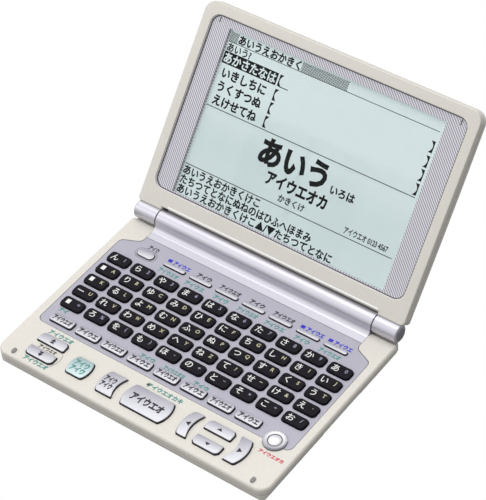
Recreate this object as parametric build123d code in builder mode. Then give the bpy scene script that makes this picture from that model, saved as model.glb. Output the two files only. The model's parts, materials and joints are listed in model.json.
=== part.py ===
from build123d import *
import os
from math import cos, hypot, radians, sin

# Base housing
BASE_W = 145.4          # width across the sides
FRONT_Y = -52.9         # front wall
EAR_Y = 44.0            # back of the two ears beside the hinge barrel
REAR_Y = 51.1           # rear wall of the middle part
TOP_Z = 10.6            # keyboard surface above the underside
SPLIT_Z = 7.2           # parting line between the upper and lower housing
WALL = 1.5
FLOOR = 1.6
DECK = 1.8              # thickness of the upper housing's top plate
CORNER_R = 5.5
EAR_CUT = 1.2
TOP_EDGE_R = 1.4
SIDE_R = 9.2            # quarter circles under the sides, the front and the rear
FRONT_R = 6.5
REAR_R = 3.5
SEAM_CUT = 0.2
GRIP_X = 70.9           # recess in the right side and its soft port cover
GRIP_Y = (-11.0, 17.0)
GRIP_BACK = 69.3
PORT_Y = 1.0
PORT_W = 8.0
PORT_Z = 5.4
PORT_H = 3.0
PORT_DEPTH = 1.0
PORT_CUT = 0.3
PORT_INSET = 0.15       # how far the cover sits below the grip's surface

# Hinge
AXIS_Y = 47.35
AXIS_Z = 13.6
BARREL_R = 3.75
BARREL_HALF = 59.0      # half length of the base's middle barrel
KNUCKLE_IN = 59.3
KNUCKLE_OUT = 71.6
KNUCKLE_R = 0.7         # rounding of the knuckle's outer end
PIN_R = 1.5
PIN_GAP = 0.04
PIN_U = (52.0, 69.0)
CAP_R = 2.9
CAP_T = 0.4
COVER_Y = 36.45         # front edge of the barrel fairing
FAIRING_Y = 39.6        # where the fairing starts to rise

# Lid, in its own axes: u across, v up from the hinge axis, n out of the screen side
OPEN_DEG = 130.4
LID_W = 145.0
LID_TOP = 101.3
LID_BOTTOM = 3.9
SLOT_BOTTOM = 5.4       # lower edge of the lid between the knuckles
LID_FACE = 2.4
LID_BACK = -4.1
LID_SPLIT = -0.6
LID_CROWN = 0.6
LID_WALL = 1.3
LID_R = 5.5
LID_LOW_R = 2.0
LID_EDGE_CUT = 1.0      # chamfer round the back of the lid
SLOT_CUT = (0.7, 0.6)   # chamfer of the slot's front edge, along v and n
POCKET_CUT = 0.6        # corner cut of the hollows, as a share of the outer radius
WINDOW_U = 67.65
WINDOW_V = (12.8, 96.35)
WINDOW_R = 5.0
WINDOW_TAPER = 10
SURROUND_N = 1.2
SURROUND_U = 69.5
SURROUND_V = (11.0, 98.0)
SCREEN_U = 57.1
SCREEN_V = (14.05, 92.0)
GLASS_N = 0.7
PANEL_N = -0.1
LIGHT_N = -1.7
LCD_U = 61.0
LCD_V = (11.3, 95.5)
ARM_U = (60.8, 70.1)
ARM_N = (-2.8, 1.2)
ARM_TOP = 10.0
ARM_GAP = 0.1
ARM_NOTCH_V = 8.0
ARM_ROOT_V = 1.0
PIN_END_GAP = 0.2
BOARD_N = 0.9
GUIDE_U = (-58.9, -56.2)
GUIDE_V = (4.2, 7.6)
GUIDE_N = (-2.5, 0.5)
CABLE_EDGE = 0.6
CABLE_T = 0.2
BOARD_U = 50.0
BOARD_V = (7.6, 10.6)
LID_SCREW_AT = (65.5, 7.4)

# Keyboard
PANEL_U = 68.3          # half width of the keyboard panel
PANEL_FRONT = -29.6
PANEL_R = 3.0
PANEL_TURN = 67.0       # slope of the S-curve beside each ear
PANEL_TURN_Y = 27.0
PANEL_BACK = 31.0       # rear edge of the opening under the panel
PANEL_T = 1.0
LEDGE = 1.1
KEY_PITCH = (13.38, 8.17)
KEY_CENTRE = (0.25, 1.6)
KEY_SIZE = (11.3, 5.9)
KEY_CUT = 1.0           # corner cut of the small keys and their holes
LOW_KEY_CUT = 0.7
TOP_KEY_CUT = 0.5
KEY_TOP = 1.1           # height of the key tops above the keyboard surface
KEY_GAP = 0.3
FLANGE_W = 0.7
FLANGE_T = 0.6
FIT_GAP = 0.05          # gap round a part that is set into another
TOP_KEY_SIZE = (11.7, 2.0)
TOP_KEY_TOP = 0.8
TOP_KEY_START = -35.95
TOP_KEY_PITCH = 14.59
TOP_KEY_Y = 27.5
LOW_KEY_SIZE = (12.2, 4.6)
LOW_KEY_START = -57.36
LOW_KEY_PITCH = 14.47
LOW_KEY_Y = -24.85
POWER_AT = (-52.25, 27.4)
POWER_SIZE = (8.8, 4.0)
POWER_TOP = 0.6
ROUND_AT = (59.85, -28.1)
RING_R = 5.4
RING_BORE_R = 3.1
RING_TOP = 1.0
DOME_R = 2.7
DOME_RISE = 1.5
RING_CUT = 0.5
DOME_CUT = 0.7

# Inside
MAT_Z = 6.4
MAT_T = 0.8
MAT_SPAN = (67.0, -48.5, 35.0)      # half width, front and rear edge
MAT_STEP = ((-66.2, 66.2), (-28.2, 26.5))
BOARD_T = 1.2
BOARD_SPAN = (66.0, -47.0, 37.0)
BOSS_NOTCH = (6.6, 9.5)
CHIP_T = 1.4
CHIPS = (((-13.0, -3.0), 16.0), ((15.0, -1.0), 12.0), ((31.0, -16.0), 7.0))
BOSS_AT = ((-63.0, -42.0), (63.0, -42.0), (-63.5, 39.6), (63.5, 39.6))
BOSS_R = 2.0
BOSS_Z = 3.9            # lower end of the upper housing's screw bosses
SCREW_R = 0.9
HEAD_R = 1.7
HEAD_GAP = 0.2
HEAD_INSET = 0.3        # how far a case screw's head lies inside the underside
LID_HEAD_T = 1.0
SCREW_SIDES = 8
CELL_R = 5.25
CELL_L = 44.5
TIP_R = 1.9
TIP_T = 0.8
CELL_AT = (44.8, 6.3)
CELL_GAP = 0.15
BAY_U = 45.0
BAY_WALL = 1.4
BAY_Y = (39.2, 47.5)
CONTACT_T = 0.5
CONTACT_Y = (41.5, 47.5)
CONTACT_Z = (2.0, 9.5)
DOOR_U = 46.9
DOOR_FRONT = 38.8
DOOR_T = 0.9
DOOR_LIP_Z = 6.0
DOOR_GAP = 0.3
RAIL_W = 1.0
RAIL_Z = (0.5, 0.9)
RAIL_GAP = 0.1
RAIL_INSET = 0.5
FOOT_H = 0.5
FOOT_SIZE = (11.0, 4.5)
FOOT_CUT = 1.0
FOOT_AT = (54.0, -40.0, 32.0)
BUMPER_AT = (64.35, -49.6)
BUMPER_SIZE = (1.7, 2.9)
BUMPER_H = 0.5
BUMPER_CUT = 0.5

MID_Y = 31.3            # middle of the footprint with the lid open
REACH = 100             # longer than any stretch of the base that a cut runs through
PANEL_Z = TOP_Z - PANEL_T
DECK_Z = TOP_Z - DECK
LID_PLANE = Plane(
    origin=(0, AXIS_Y, AXIS_Z),
    x_dir=(1, 0, 0),
    z_dir=(0, -sin(radians(OPEN_DEG)), -cos(radians(OPEN_DEG))),
)
LID_SIDE = Plane(
    origin=(0, AXIS_Y, AXIS_Z),
    x_dir=(0, -cos(radians(OPEN_DEG)), sin(radians(OPEN_DEG))),
    z_dir=(1, 0, 0),
)


def save(piece, name):
    """Put one finished piece in the part's frame, label it and write it."""
    placed = piece.moved(Location((0, -MID_Y, FOOT_H)))
    placed.label = name
    export_step(placed, f"parts/{name}.step")


def span(start, end):
    """Middle and length of a stretch."""
    return (start + end) / 2, end - start


def block(u, v, n_low, n_high, plane, mode=Mode.ADD):
    """Box over a stretch u by a stretch v, between two heights of a plane."""
    (u_mid, u_len), (v_mid, v_len) = span(*u), span(*v)
    with BuildSketch(plane.offset(n_low)) as base:
        with Locations((u_mid, v_mid)):
            Rectangle(u_len, v_len)
    extrude(base.sketch, amount=n_high - n_low, mode=mode)


# ------------------------------------------------------------ base housing
def hull_section(plane, start, end, radii):
    """Closed outline across the base, with a quarter circle under each end."""
    low, high = radii
    with BuildSketch(plane) as section:
        with BuildLine():
            Polyline((start, low), (start, TOP_Z + 1), (end, TOP_Z + 1), (end, high))
            RadiusArc((end, high), (end - high, 0), high)
            Line((end - high, 0), (start + low, 0))
            RadiusArc((start + low, 0), (start, low), low)
        make_face()
    return section.sketch


def hull():
    """Lower housing's outer form: plan outline with ears, curved sides, front and rear."""
    with BuildPart() as form:
        with BuildSketch() as plan:
            with Locations((0, (FRONT_Y + EAR_Y) / 2)):
                Rectangle(BASE_W, EAR_Y - FRONT_Y)
            fillet(plan.vertices().group_by(Axis.Y)[0], CORNER_R)
            chamfer(plan.vertices().group_by(Axis.Y)[-1], EAR_CUT)
            with Locations((0, REAR_Y / 2)):
                Rectangle(2 * BARREL_HALF, REAR_Y)
        extrude(amount=SPLIT_Z)
        across = hull_section(Plane.XZ, -BASE_W / 2, BASE_W / 2, (SIDE_R, SIDE_R))
        extrude(across, amount=REACH, both=True, mode=Mode.INTERSECT)
        along = hull_section(Plane.YZ, FRONT_Y, REAR_Y, (FRONT_R, REAR_R))
        extrude(along, amount=REACH, both=True, mode=Mode.INTERSECT)
    return form.part


def inner_form(low, high):
    """Room inside the base walls, with straight slopes along the curved underside edges."""
    half, front, ear, rear = BASE_W / 2 - WALL, FRONT_Y + WALL, EAR_Y - WALL, REAR_Y - WALL
    with BuildPart() as room:
        with BuildSketch(Plane.XY.offset(low)) as plan:
            with Locations((0, (front + ear) / 2)):
                Rectangle(2 * half, ear - front)
            chamfer(plan.vertices(), CORNER_R / 2)
            with Locations((0, rear / 2)):
                Rectangle(2 * (BARREL_HALF - WALL), rear)
        extrude(amount=high - low)
        for plane, start, end, slope in (
            (Plane.XZ, -half, half, SIDE_R - WALL),
            (Plane.YZ, front, rear, REAR_R - WALL / 2),
        ):
            with BuildSketch(plane) as section:
                with BuildLine():
                    Polyline(
                        (start, slope + FLOOR),
                        (start, TOP_Z + 1),
                        (end, TOP_Z + 1),
                        (end, slope + FLOOR),
                        (end - slope, FLOOR),
                        (start + slope, FLOOR),
                        close=True,
                    )
                make_face()
            extrude(section.sketch, amount=REACH, both=True, mode=Mode.INTERSECT)
    return room.part


def panel_outline(plane, grow=0.0):
    """Keyboard panel from above: straight front, S-curves that clear the ears."""
    side = PANEL_U + grow
    inner = BARREL_HALF + grow
    turn = radians(PANEL_TURN)
    run = side - inner - 2 * PANEL_R * (1 - cos(turn))
    with BuildSketch(plane) as outline:
        with BuildLine():
            Line((0, PANEL_FRONT - grow), (side - PANEL_R, PANEL_FRONT - grow))
            JernArc((side - PANEL_R, PANEL_FRONT - grow), (1, 0), PANEL_R, 90)
            Line((side, PANEL_FRONT - grow + PANEL_R), (side, PANEL_TURN_Y + grow))
            outer = JernArc((side, PANEL_TURN_Y + grow), (0, 1), PANEL_R, PANEL_TURN)
            slope = Line(outer @ 1, outer @ 1 + outer % 1 * (run / sin(turn)))
            curve = JernArc(slope @ 1, slope % 1, PANEL_R, -PANEL_TURN)
            Polyline(curve @ 1, (inner, COVER_Y + grow), (0, COVER_Y + grow))
            mirror(about=Plane.YZ)
        make_face()
    return outline.sketch


def cover_profile():
    """Hinge cover from the side: flat front, concave fairing, barrel and rear wall."""
    reach, rise = AXIS_Y - FAIRING_Y, AXIS_Z - TOP_Z
    hollow = (reach**2 + rise**2 - BARREL_R**2) / (2 * (BARREL_R + rise))
    to_barrel = hypot(reach, rise - hollow)
    meet = (
        FAIRING_Y + hollow * reach / to_barrel,
        TOP_Z + hollow + hollow * (rise - hollow) / to_barrel,
    )
    with BuildSketch(Plane.YZ) as profile:
        with BuildLine():
            Polyline(
                (REAR_Y, AXIS_Z),
                (REAR_Y, SPLIT_Z),
                (COVER_Y, SPLIT_Z),
                (COVER_Y, TOP_Z),
                (FAIRING_Y, TOP_Z),
            )
            RadiusArc((FAIRING_Y, TOP_Z), meet, -hollow)
            top = (AXIS_Y, AXIS_Z + BARREL_R)
            RadiusArc(meet, top, BARREL_R)
            RadiusArc(top, (REAR_Y, AXIS_Z), BARREL_R)
        make_face()
    return profile.sketch


def key_row(count, start, pitch, y):
    """Centres of a row of keys."""
    return [(start + i * pitch, y) for i in range(count)]


kana_rows = [
    key_row(
        10,
        KEY_CENTRE[0] - 4.5 * KEY_PITCH[0],
        KEY_PITCH[0],
        KEY_CENTRE[1] + (2 - row) * KEY_PITCH[1],
    )
    for row in range(5)
]
top_keys = key_row(7, TOP_KEY_START, TOP_KEY_PITCH, TOP_KEY_Y)
low_keys = key_row(8, LOW_KEY_START, LOW_KEY_PITCH, LOW_KEY_Y)

# Front keys: centre, size, bulge of the left and right sides, corner radius, rounded ends
front_keys = {
    "page_up_key": ((-52.75, -36.7), (14.7, 4.9), (0, 0), 0.8, 1),
    "page_down_key": ((-52.75, -45.3), (14.7, 4.9), (0, 0), 0.8, -1),
    "shift_key": ((-33.6, -41.75), (11.0, 10.0), (1.4, 1.4), 1.0, 0),
    "back_key": ((-16.9, -41.7), (10.4, 12.1), (1.8, -1.8), 0.8, 0),
    "enter_key": ((3.2, -41.7), (23.7, 12.2), (1.8, 1.8), 0.8, 0),
    "left_key": ((24.7, -40.8), (7.0, 13.8), (1.9, -1.9), 0.8, 0),
    "up_key": ((37.8, -36.3), (13.8, 5.2), (0, 0), 0.8, 1),
    "down_key": ((37.8, -45.4), (13.7, 5.1), (0, 0), 0.8, -1),
    "right_key": ((50.9, -40.9), (7.6, 13.95), (-1.9, 1.9), 0.8, 0),
}
ROUND_END_R = 2.3
CORNER_CUT = 0.6        # share of a corner radius that its straight cut takes


def front_key_outline(centre, size, bulges, corner, round_end, plane, grow=0.0):
    """Key outline whose left and right sides bow out, or in where the bulge is negative."""
    x, y = centre
    w, h = size[0] / 2 + grow, size[1] / 2 + grow
    left, right = bulges
    left_x, right_x = x - w + max(left, 0), x + w - max(right, 0)
    with BuildSketch(plane) as outline:
        with BuildLine():
            Line((left_x, y - h), (right_x, y - h))
            if right:
                ThreePointArc((right_x, y - h), (right_x + right, y), (right_x, y + h))
            else:
                Line((right_x, y - h), (right_x, y + h))
            Line((right_x, y + h), (left_x, y + h))
            if left:
                ThreePointArc((left_x, y + h), (left_x - left, y), (left_x, y - h))
            else:
                Line((left_x, y + h), (left_x, y - h))
        make_face()
        back_r = ROUND_END_R if round_end > 0 else corner
        front_r = ROUND_END_R if round_end < 0 else corner
        chamfer(outline.vertices().group_by(Axis.Y)[-1], back_r * CORNER_CUT)
        chamfer(outline.vertices().group_by(Axis.Y)[0], front_r * CORNER_CUT)
    return outline.sketch


def cut_rectangles(plane, size, places, cut):
    """Rectangles with their corners cut, for small keys and the holes round them."""
    w, h = size[0] / 2, size[1] / 2
    with BuildSketch(plane) as outlines:
        with Locations(*places):
            Polygon(
                (-w, cut - h),
                (cut - w, -h),
                (w - cut, -h),
                (w, cut - h),
                (w, h - cut),
                (w - cut, h),
                (cut - w, h),
                (-w, h - cut),
                align=None,
            )
    return outlines.sketch


def grown(size):
    """Size of the hole that a key of this size runs in."""
    return size[0] + 2 * KEY_GAP, size[1] + 2 * KEY_GAP


def lid_outline(plane, inset=0.0):
    """Lid outline with its lower ends beside the barrel; an inset one is a hollow, with cut corners."""
    half, top = LID_W / 2 - inset, LID_TOP - inset
    with BuildSketch(plane) as outline:
        with BuildLine():
            Polyline(
                (0, SLOT_BOTTOM + inset),
                (BARREL_HALF + inset, SLOT_BOTTOM + inset),
                (BARREL_HALF + inset, LID_BOTTOM + inset),
                (half, LID_BOTTOM + inset),
                (half, top),
                (0, top),
            )
            mirror(about=Plane.YZ)
        make_face()
        if inset:
            chamfer(outline.vertices().group_by(Axis.Y)[-1], LID_R * POCKET_CUT)
        else:
            low_ends = outline.vertices().group_by(Axis.Y)[0].sort_by(Axis.X)
            fillet([low_ends[0], low_ends[-1]], LID_LOW_R)
            fillet(outline.vertices().group_by(Axis.Y)[-1], LID_R)
    return outline.sketch


os.makedirs("parts", exist_ok=True)

# ------------------------------------------------------------ lower housing
with BuildPart() as cavity:
    add(inner_form(FLOOR, TOP_Z))
    grip_wall = (GRIP_Y[0] - WALL, GRIP_Y[1] + WALL)
    block((GRIP_BACK, BASE_W), grip_wall, 0, TOP_Z, Plane.XY, Mode.SUBTRACT)
    block((-BAY_U, BAY_U), (BAY_Y[0] - BAY_WALL, BAY_Y[0]), 0, TOP_Z, Plane.XY, Mode.SUBTRACT)
    for side in (-1, 1):
        ends = sorted((side * BAY_U, side * (BAY_U + BAY_WALL)))
        block(ends, (BAY_Y[0] - BAY_WALL, BAY_Y[1]), 0, TOP_Z, Plane.XY, Mode.SUBTRACT)

with BuildPart() as bottom_case:
    add(hull())
    add(cavity.part, mode=Mode.SUBTRACT)
    door_end = DOOR_U + DOOR_GAP
    rail_end = door_end + RAIL_W
    arc_y = REAR_Y - REAR_R
    for end, ahead, low, high in (
        (door_end, DOOR_FRONT - DOOR_GAP, 0, DOOR_T + DOOR_GAP),
        (door_end, arc_y, 0, DOOR_LIP_Z + DOOR_GAP),
        (rail_end, DOOR_FRONT, RAIL_Z[0] - RAIL_GAP, RAIL_Z[1] + RAIL_GAP),
    ):
        block((-end, end), (ahead, REAR_Y), low, high, Plane.XY, Mode.SUBTRACT)
    block((-BAY_U, BAY_U), (BAY_Y[0], arc_y), 0, FLOOR, Plane.XY, Mode.SUBTRACT)
    with BuildSketch(Plane.YZ.offset(-BAY_U)):
        with Locations(CELL_AT):
            Circle(CELL_R + CELL_GAP)
    extrude(amount=2 * BAY_U, mode=Mode.SUBTRACT)
    with BuildSketch(Plane.XY):
        with Locations(*BOSS_AT):
            RegularPolygon(HEAD_R + HEAD_GAP, SCREW_SIDES)
    extrude(amount=FLOOR / 2, mode=Mode.SUBTRACT)
    with BuildSketch(Plane.XY):
        with Locations(*BOSS_AT):
            RegularPolygon(SCREW_R + HEAD_GAP, SCREW_SIDES)
    extrude(amount=BOSS_Z, mode=Mode.SUBTRACT)
    block((GRIP_X, BASE_W), GRIP_Y, 0, SPLIT_Z, Plane.XY, Mode.SUBTRACT)
    port = (PORT_Y - PORT_W / 2, PORT_Y + PORT_W / 2), PORT_Z - PORT_H / 2, PORT_Z + PORT_H / 2
    block((GRIP_X - PORT_DEPTH, BASE_W), *port, Plane.XY, Mode.SUBTRACT)
save(bottom_case.part, "bottom_case")

with BuildPart() as port_cover:
    block((GRIP_X - PORT_DEPTH, GRIP_X - PORT_INSET), *port, Plane.XY)
    chamfer(port_cover.faces().sort_by(Axis.X)[-1].edges(), PORT_CUT)
save(port_cover.part, "port_cover")

# ------------------------------------------------------------ upper housing
with BuildPart() as top_case:
    with BuildSketch(Plane.XY.offset(SPLIT_Z)) as plan:
        with Locations((0, (FRONT_Y + EAR_Y) / 2)):
            Rectangle(BASE_W, EAR_Y - FRONT_Y)
        fillet(plan.vertices().group_by(Axis.Y)[0], CORNER_R)
        chamfer(plan.vertices().group_by(Axis.Y)[-1], EAR_CUT)
    extrude(amount=TOP_Z - SPLIT_Z)
    fillet(top_case.faces().sort_by(Axis.Z)[-1].edges(), TOP_EDGE_R)
    chamfer(top_case.faces().sort_by(Axis.Z)[0].edges(), SEAM_CUT)
    add(inner_form(SPLIT_Z - 1, DECK_Z), mode=Mode.SUBTRACT)
    block((-BARREL_HALF, BARREL_HALF), (COVER_Y, REAR_Y), 0, TOP_Z + 1, Plane.XY, Mode.SUBTRACT)
    extrude(panel_outline(Plane.XY.offset(PANEL_Z), FIT_GAP), amount=PANEL_T + 1, mode=Mode.SUBTRACT)
    with BuildSketch(Plane.XY.offset(DECK_Z)) as opening:
        with BuildLine():
            Polyline(
                (0, PANEL_FRONT + LEDGE),
                (PANEL_U - LEDGE, PANEL_FRONT + LEDGE),
                (PANEL_U - LEDGE, PANEL_TURN_Y),
                (BARREL_HALF - LEDGE, PANEL_BACK),
                (0, PANEL_BACK),
            )
            mirror(about=Plane.YZ)
        make_face()
    extrude(opening.sketch, amount=DECK, mode=Mode.SUBTRACT)
    for place, size, bulges, corner, end in front_keys.values():
        hole = front_key_outline(place, size, bulges, corner, end, Plane.XY.offset(DECK_Z), KEY_GAP)
        extrude(hole, amount=DECK + 1, mode=Mode.SUBTRACT)
    with BuildSketch(Plane.XY.offset(PANEL_Z)):
        with Locations(ROUND_AT):
            Circle(RING_R + FIT_GAP)
    extrude(amount=PANEL_T + 1, mode=Mode.SUBTRACT)
    with BuildSketch(Plane.XY.offset(DECK_Z)):
        with Locations(ROUND_AT):
            Circle(DOME_R + FLANGE_W + KEY_GAP)
    extrude(amount=DECK, mode=Mode.SUBTRACT)
    with BuildSketch(Plane.XY.offset(BOSS_Z)):
        with Locations(*BOSS_AT):
            RegularPolygon(BOSS_R, SCREW_SIDES)
    extrude(amount=DECK_Z - BOSS_Z + DECK / 2)
    with BuildSketch(Plane.XY.offset(BOSS_Z)):
        with Locations(*BOSS_AT):
            RegularPolygon(SCREW_R, SCREW_SIDES)
    extrude(amount=SPLIT_Z - BOSS_Z, mode=Mode.SUBTRACT)
save(top_case.part, "top_case")

# ------------------------------------------------------------ keyboard panel
with BuildPart() as keyboard_panel:
    extrude(panel_outline(Plane.XY.offset(PANEL_Z)), amount=PANEL_T)
    with BuildSketch(Plane.XY.offset(TOP_Z)):
        for row in kana_rows:
            with Locations(*row):
                Rectangle(*grown(KEY_SIZE))
        with Locations(*top_keys):
            Rectangle(*grown(TOP_KEY_SIZE))
        with Locations(*low_keys):
            Rectangle(*grown(LOW_KEY_SIZE))
        with Locations(POWER_AT):
            SlotOverall(POWER_SIZE[0] + 2 * KEY_GAP, POWER_SIZE[1] + 2 * KEY_GAP)
        with Locations(ROUND_AT):
            Circle(RING_R + FIT_GAP)
    extrude(amount=-PANEL_T, mode=Mode.SUBTRACT)
save(keyboard_panel.part, "keyboard_panel")

# ------------------------------------------------------------ hinge cover and pins
with BuildPart() as hinge_cover:
    extrude(cover_profile(), amount=BARREL_HALF, both=True)
    with BuildSketch(Plane.YZ.offset(-BAY_U - BAY_WALL)):
        with Locations(CELL_AT):
            Circle(CELL_R + CELL_GAP)
    extrude(amount=2 * (BAY_U + BAY_WALL), mode=Mode.SUBTRACT)
    for start, end in ((PIN_U[0], BARREL_HALF), (-BARREL_HALF, -PIN_U[0])):
        with BuildSketch(Plane.YZ.offset(start)):
            with Locations((AXIS_Y, AXIS_Z)):
                Circle(PIN_R + PIN_GAP)
        extrude(amount=end - start, mode=Mode.SUBTRACT)
save(hinge_cover.part, "hinge_cover")

for name, start in (("left_hinge_pin", -PIN_U[1]), ("right_hinge_pin", PIN_U[0])):
    with BuildPart() as hinge_pin:
        with BuildSketch(Plane.YZ.offset(start)):
            with Locations((AXIS_Y, AXIS_Z)):
                Circle(PIN_R)
        extrude(amount=PIN_U[1] - PIN_U[0])
    save(hinge_pin.part, name)

# ------------------------------------------------------------ keys
def keys(places, size, cut, rise, ceiling):
    """Small keys with a retaining flange under the opening they stand in."""
    with BuildPart() as group:
        with BuildSketch(Plane.XY.offset(ceiling - FLANGE_T)) as flange:
            with Locations(*places):
                Rectangle(size[0] + 2 * FLANGE_W, size[1] + 2 * FLANGE_W)
        extrude(flange.sketch, amount=FLANGE_T)
        stems = cut_rectangles(Plane.XY.offset(ceiling), size, places, cut)
        extrude(stems, amount=TOP_Z - ceiling + rise)
    return group.part


for row, places in enumerate(kana_rows, 1):
    save(keys(places, KEY_SIZE, KEY_CUT, KEY_TOP, PANEL_Z), f"kana_keys_row_{row}")
for number, place in enumerate(top_keys, 1):
    save(keys([place], TOP_KEY_SIZE, TOP_KEY_CUT, TOP_KEY_TOP, PANEL_Z), f"top_key_{number}")
for number, place in enumerate(low_keys, 1):
    save(keys([place], LOW_KEY_SIZE, LOW_KEY_CUT, KEY_TOP, PANEL_Z), f"lower_key_{number}")

with BuildPart() as power_key:
    with BuildSketch(Plane.XY.offset(PANEL_Z - FLANGE_T)):
        with Locations(POWER_AT):
            Rectangle(POWER_SIZE[0] + 2 * FLANGE_W, POWER_SIZE[1] + 2 * FLANGE_W)
    extrude(amount=FLANGE_T)
    with BuildSketch(Plane.XY.offset(PANEL_Z)):
        with Locations(POWER_AT):
            SlotOverall(*POWER_SIZE)
    extrude(amount=PANEL_T + POWER_TOP)
save(power_key.part, "power_key")

for name, (place, size, bulges, corner, end) in front_keys.items():
    with BuildPart() as front_key:
        with BuildSketch(Plane.XY.offset(DECK_Z - FLANGE_T)):
            with Locations(place):
                Rectangle(size[0] + 2 * FLANGE_W, size[1] + 2 * FLANGE_W)
        extrude(amount=FLANGE_T)
        outline = front_key_outline(place, size, bulges, corner, end, Plane.XY.offset(DECK_Z))
        extrude(outline, amount=DECK + KEY_TOP)
    save(front_key.part, name)

with BuildPart() as round_key_ring:
    with BuildSketch(Plane.XY.offset(PANEL_Z)):
        with Locations(ROUND_AT):
            Circle(RING_R)
            Circle(RING_BORE_R, mode=Mode.SUBTRACT)
    extrude(amount=PANEL_T + RING_TOP)
    chamfer(round_key_ring.faces().sort_by(Axis.Z)[-1].outer_wire().edges(), RING_CUT)
save(round_key_ring.part, "round_key_ring")

with BuildPart() as round_key:
    with BuildSketch(Plane.XY.offset(PANEL_Z - FLANGE_T)):
        with Locations(ROUND_AT):
            Circle(DOME_R + FLANGE_W)
    extrude(amount=FLANGE_T)
    with BuildSketch(Plane.XY.offset(PANEL_Z)):
        with Locations(ROUND_AT):
            Circle(DOME_R)
    extrude(amount=PANEL_T + DOME_RISE)
    chamfer(round_key.faces().sort_by(Axis.Z)[-1].edges(), DOME_CUT)
save(round_key.part, "round_key")

# ------------------------------------------------------------ inside the base
def sheet_outline(plane, half, front, rear):
    """Sheet over the plan of the base that clears the two front screw bosses."""
    with BuildSketch(plane) as outline:
        with Locations((0, (front + rear) / 2)):
            Rectangle(2 * half, rear - front)
        with Locations((-half, front), (half, front)):
            Rectangle(2 * BOSS_NOTCH[0], 2 * BOSS_NOTCH[1], mode=Mode.SUBTRACT)
    return outline.sketch


with BuildPart() as circuit_board:
    chip_z = MAT_Z - BOARD_T - CHIP_T
    extrude(sheet_outline(Plane.XY.offset(MAT_Z - BOARD_T), *BOARD_SPAN), amount=BOARD_T)
    for (x, y), size in CHIPS:
        with BuildSketch(Plane.XY.offset(chip_z)):
            with Locations((x, y)):
                Rectangle(size, size)
        extrude(amount=CHIP_T)
save(circuit_board.part, "circuit_board")

with BuildPart() as key_mat:
    extrude(sheet_outline(Plane.XY.offset(MAT_Z), *MAT_SPAN), amount=MAT_T)
    block(*MAT_STEP, MAT_Z + MAT_T, MAT_Z + 2 * MAT_T, Plane.XY)
save(key_mat.part, "key_mat")

with BuildPart() as battery_cells:
    for start in (-CELL_L, 0):
        with BuildSketch(Plane.YZ.offset(start)):
            with Locations(CELL_AT):
                Circle(CELL_R)
        extrude(amount=CELL_L - TIP_T)
        with BuildSketch(Plane.YZ.offset(start + CELL_L - TIP_T)):
            with Locations(CELL_AT):
                RegularPolygon(TIP_R, SCREW_SIDES)
        extrude(amount=TIP_T)
save(battery_cells.part, "battery_cells")

with BuildPart() as battery_contacts:
    for start in (-CELL_L - CONTACT_T, CELL_L):
        block((start, start + CONTACT_T), CONTACT_Y, *CONTACT_Z, Plane.XY)
save(battery_contacts.part, "battery_contacts")

with BuildPart() as case_screws:
    with BuildSketch(Plane.XY.offset(HEAD_INSET)):
        with Locations(*BOSS_AT):
            RegularPolygon(HEAD_R, SCREW_SIDES)
    extrude(amount=FLOOR / 2 - HEAD_INSET)
    with BuildSketch(Plane.XY.offset(FLOOR / 2)):
        with Locations(*BOSS_AT):
            RegularPolygon(SCREW_R, SCREW_SIDES)
    extrude(amount=SPLIT_Z - FLOOR / 2)
save(case_screws.part, "case_screws")

with BuildPart() as rubber_feet:
    corners = [(x, y) for x in (-FOOT_AT[0], FOOT_AT[0]) for y in FOOT_AT[1:]]
    extrude(cut_rectangles(Plane.XY.offset(-FOOT_H), FOOT_SIZE, corners, FOOT_CUT), amount=FOOT_H)
save(rubber_feet.part, "rubber_feet")

with BuildPart() as lid_bumpers:
    corners = [(-BUMPER_AT[0], BUMPER_AT[1]), BUMPER_AT]
    extrude(cut_rectangles(Plane.XY.offset(TOP_Z), BUMPER_SIZE, corners, BUMPER_CUT), amount=BUMPER_H)
save(lid_bumpers.part, "lid_bumpers")

# ------------------------------------------------------------ battery door
with BuildPart() as battery_door:
    with BuildSketch(Plane.YZ):
        with BuildLine():
            Polyline((arc_y, 0), (DOOR_FRONT, 0), (DOOR_FRONT, DOOR_T), (arc_y, DOOR_T))
            RadiusArc((arc_y, DOOR_T), (REAR_Y - DOOR_T, REAR_R), DOOR_T - REAR_R)
            Polyline(
                (REAR_Y - DOOR_T, REAR_R),
                (REAR_Y - DOOR_T, DOOR_LIP_Z),
                (REAR_Y, DOOR_LIP_Z),
                (REAR_Y, REAR_R),
            )
            RadiusArc((REAR_Y, REAR_R), (arc_y, 0), REAR_R)
        make_face()
    extrude(amount=DOOR_U, both=True)
    for start, end in ((-DOOR_U - RAIL_W, -DOOR_U), (DOOR_U, DOOR_U + RAIL_W)):
        block((start, end), (DOOR_FRONT + RAIL_INSET, arc_y), *RAIL_Z, Plane.XY)
save(battery_door.part, "battery_door")

# ------------------------------------------------------------ lid
arm_places = [sorted((side * ARM_U[0], side * ARM_U[1])) for side in (-1, 1)]
screw_places = [(side * LID_SCREW_AT[0], LID_SCREW_AT[1]) for side in (-1, 1)]
floor_n = ARM_N[0] - ARM_GAP

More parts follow.
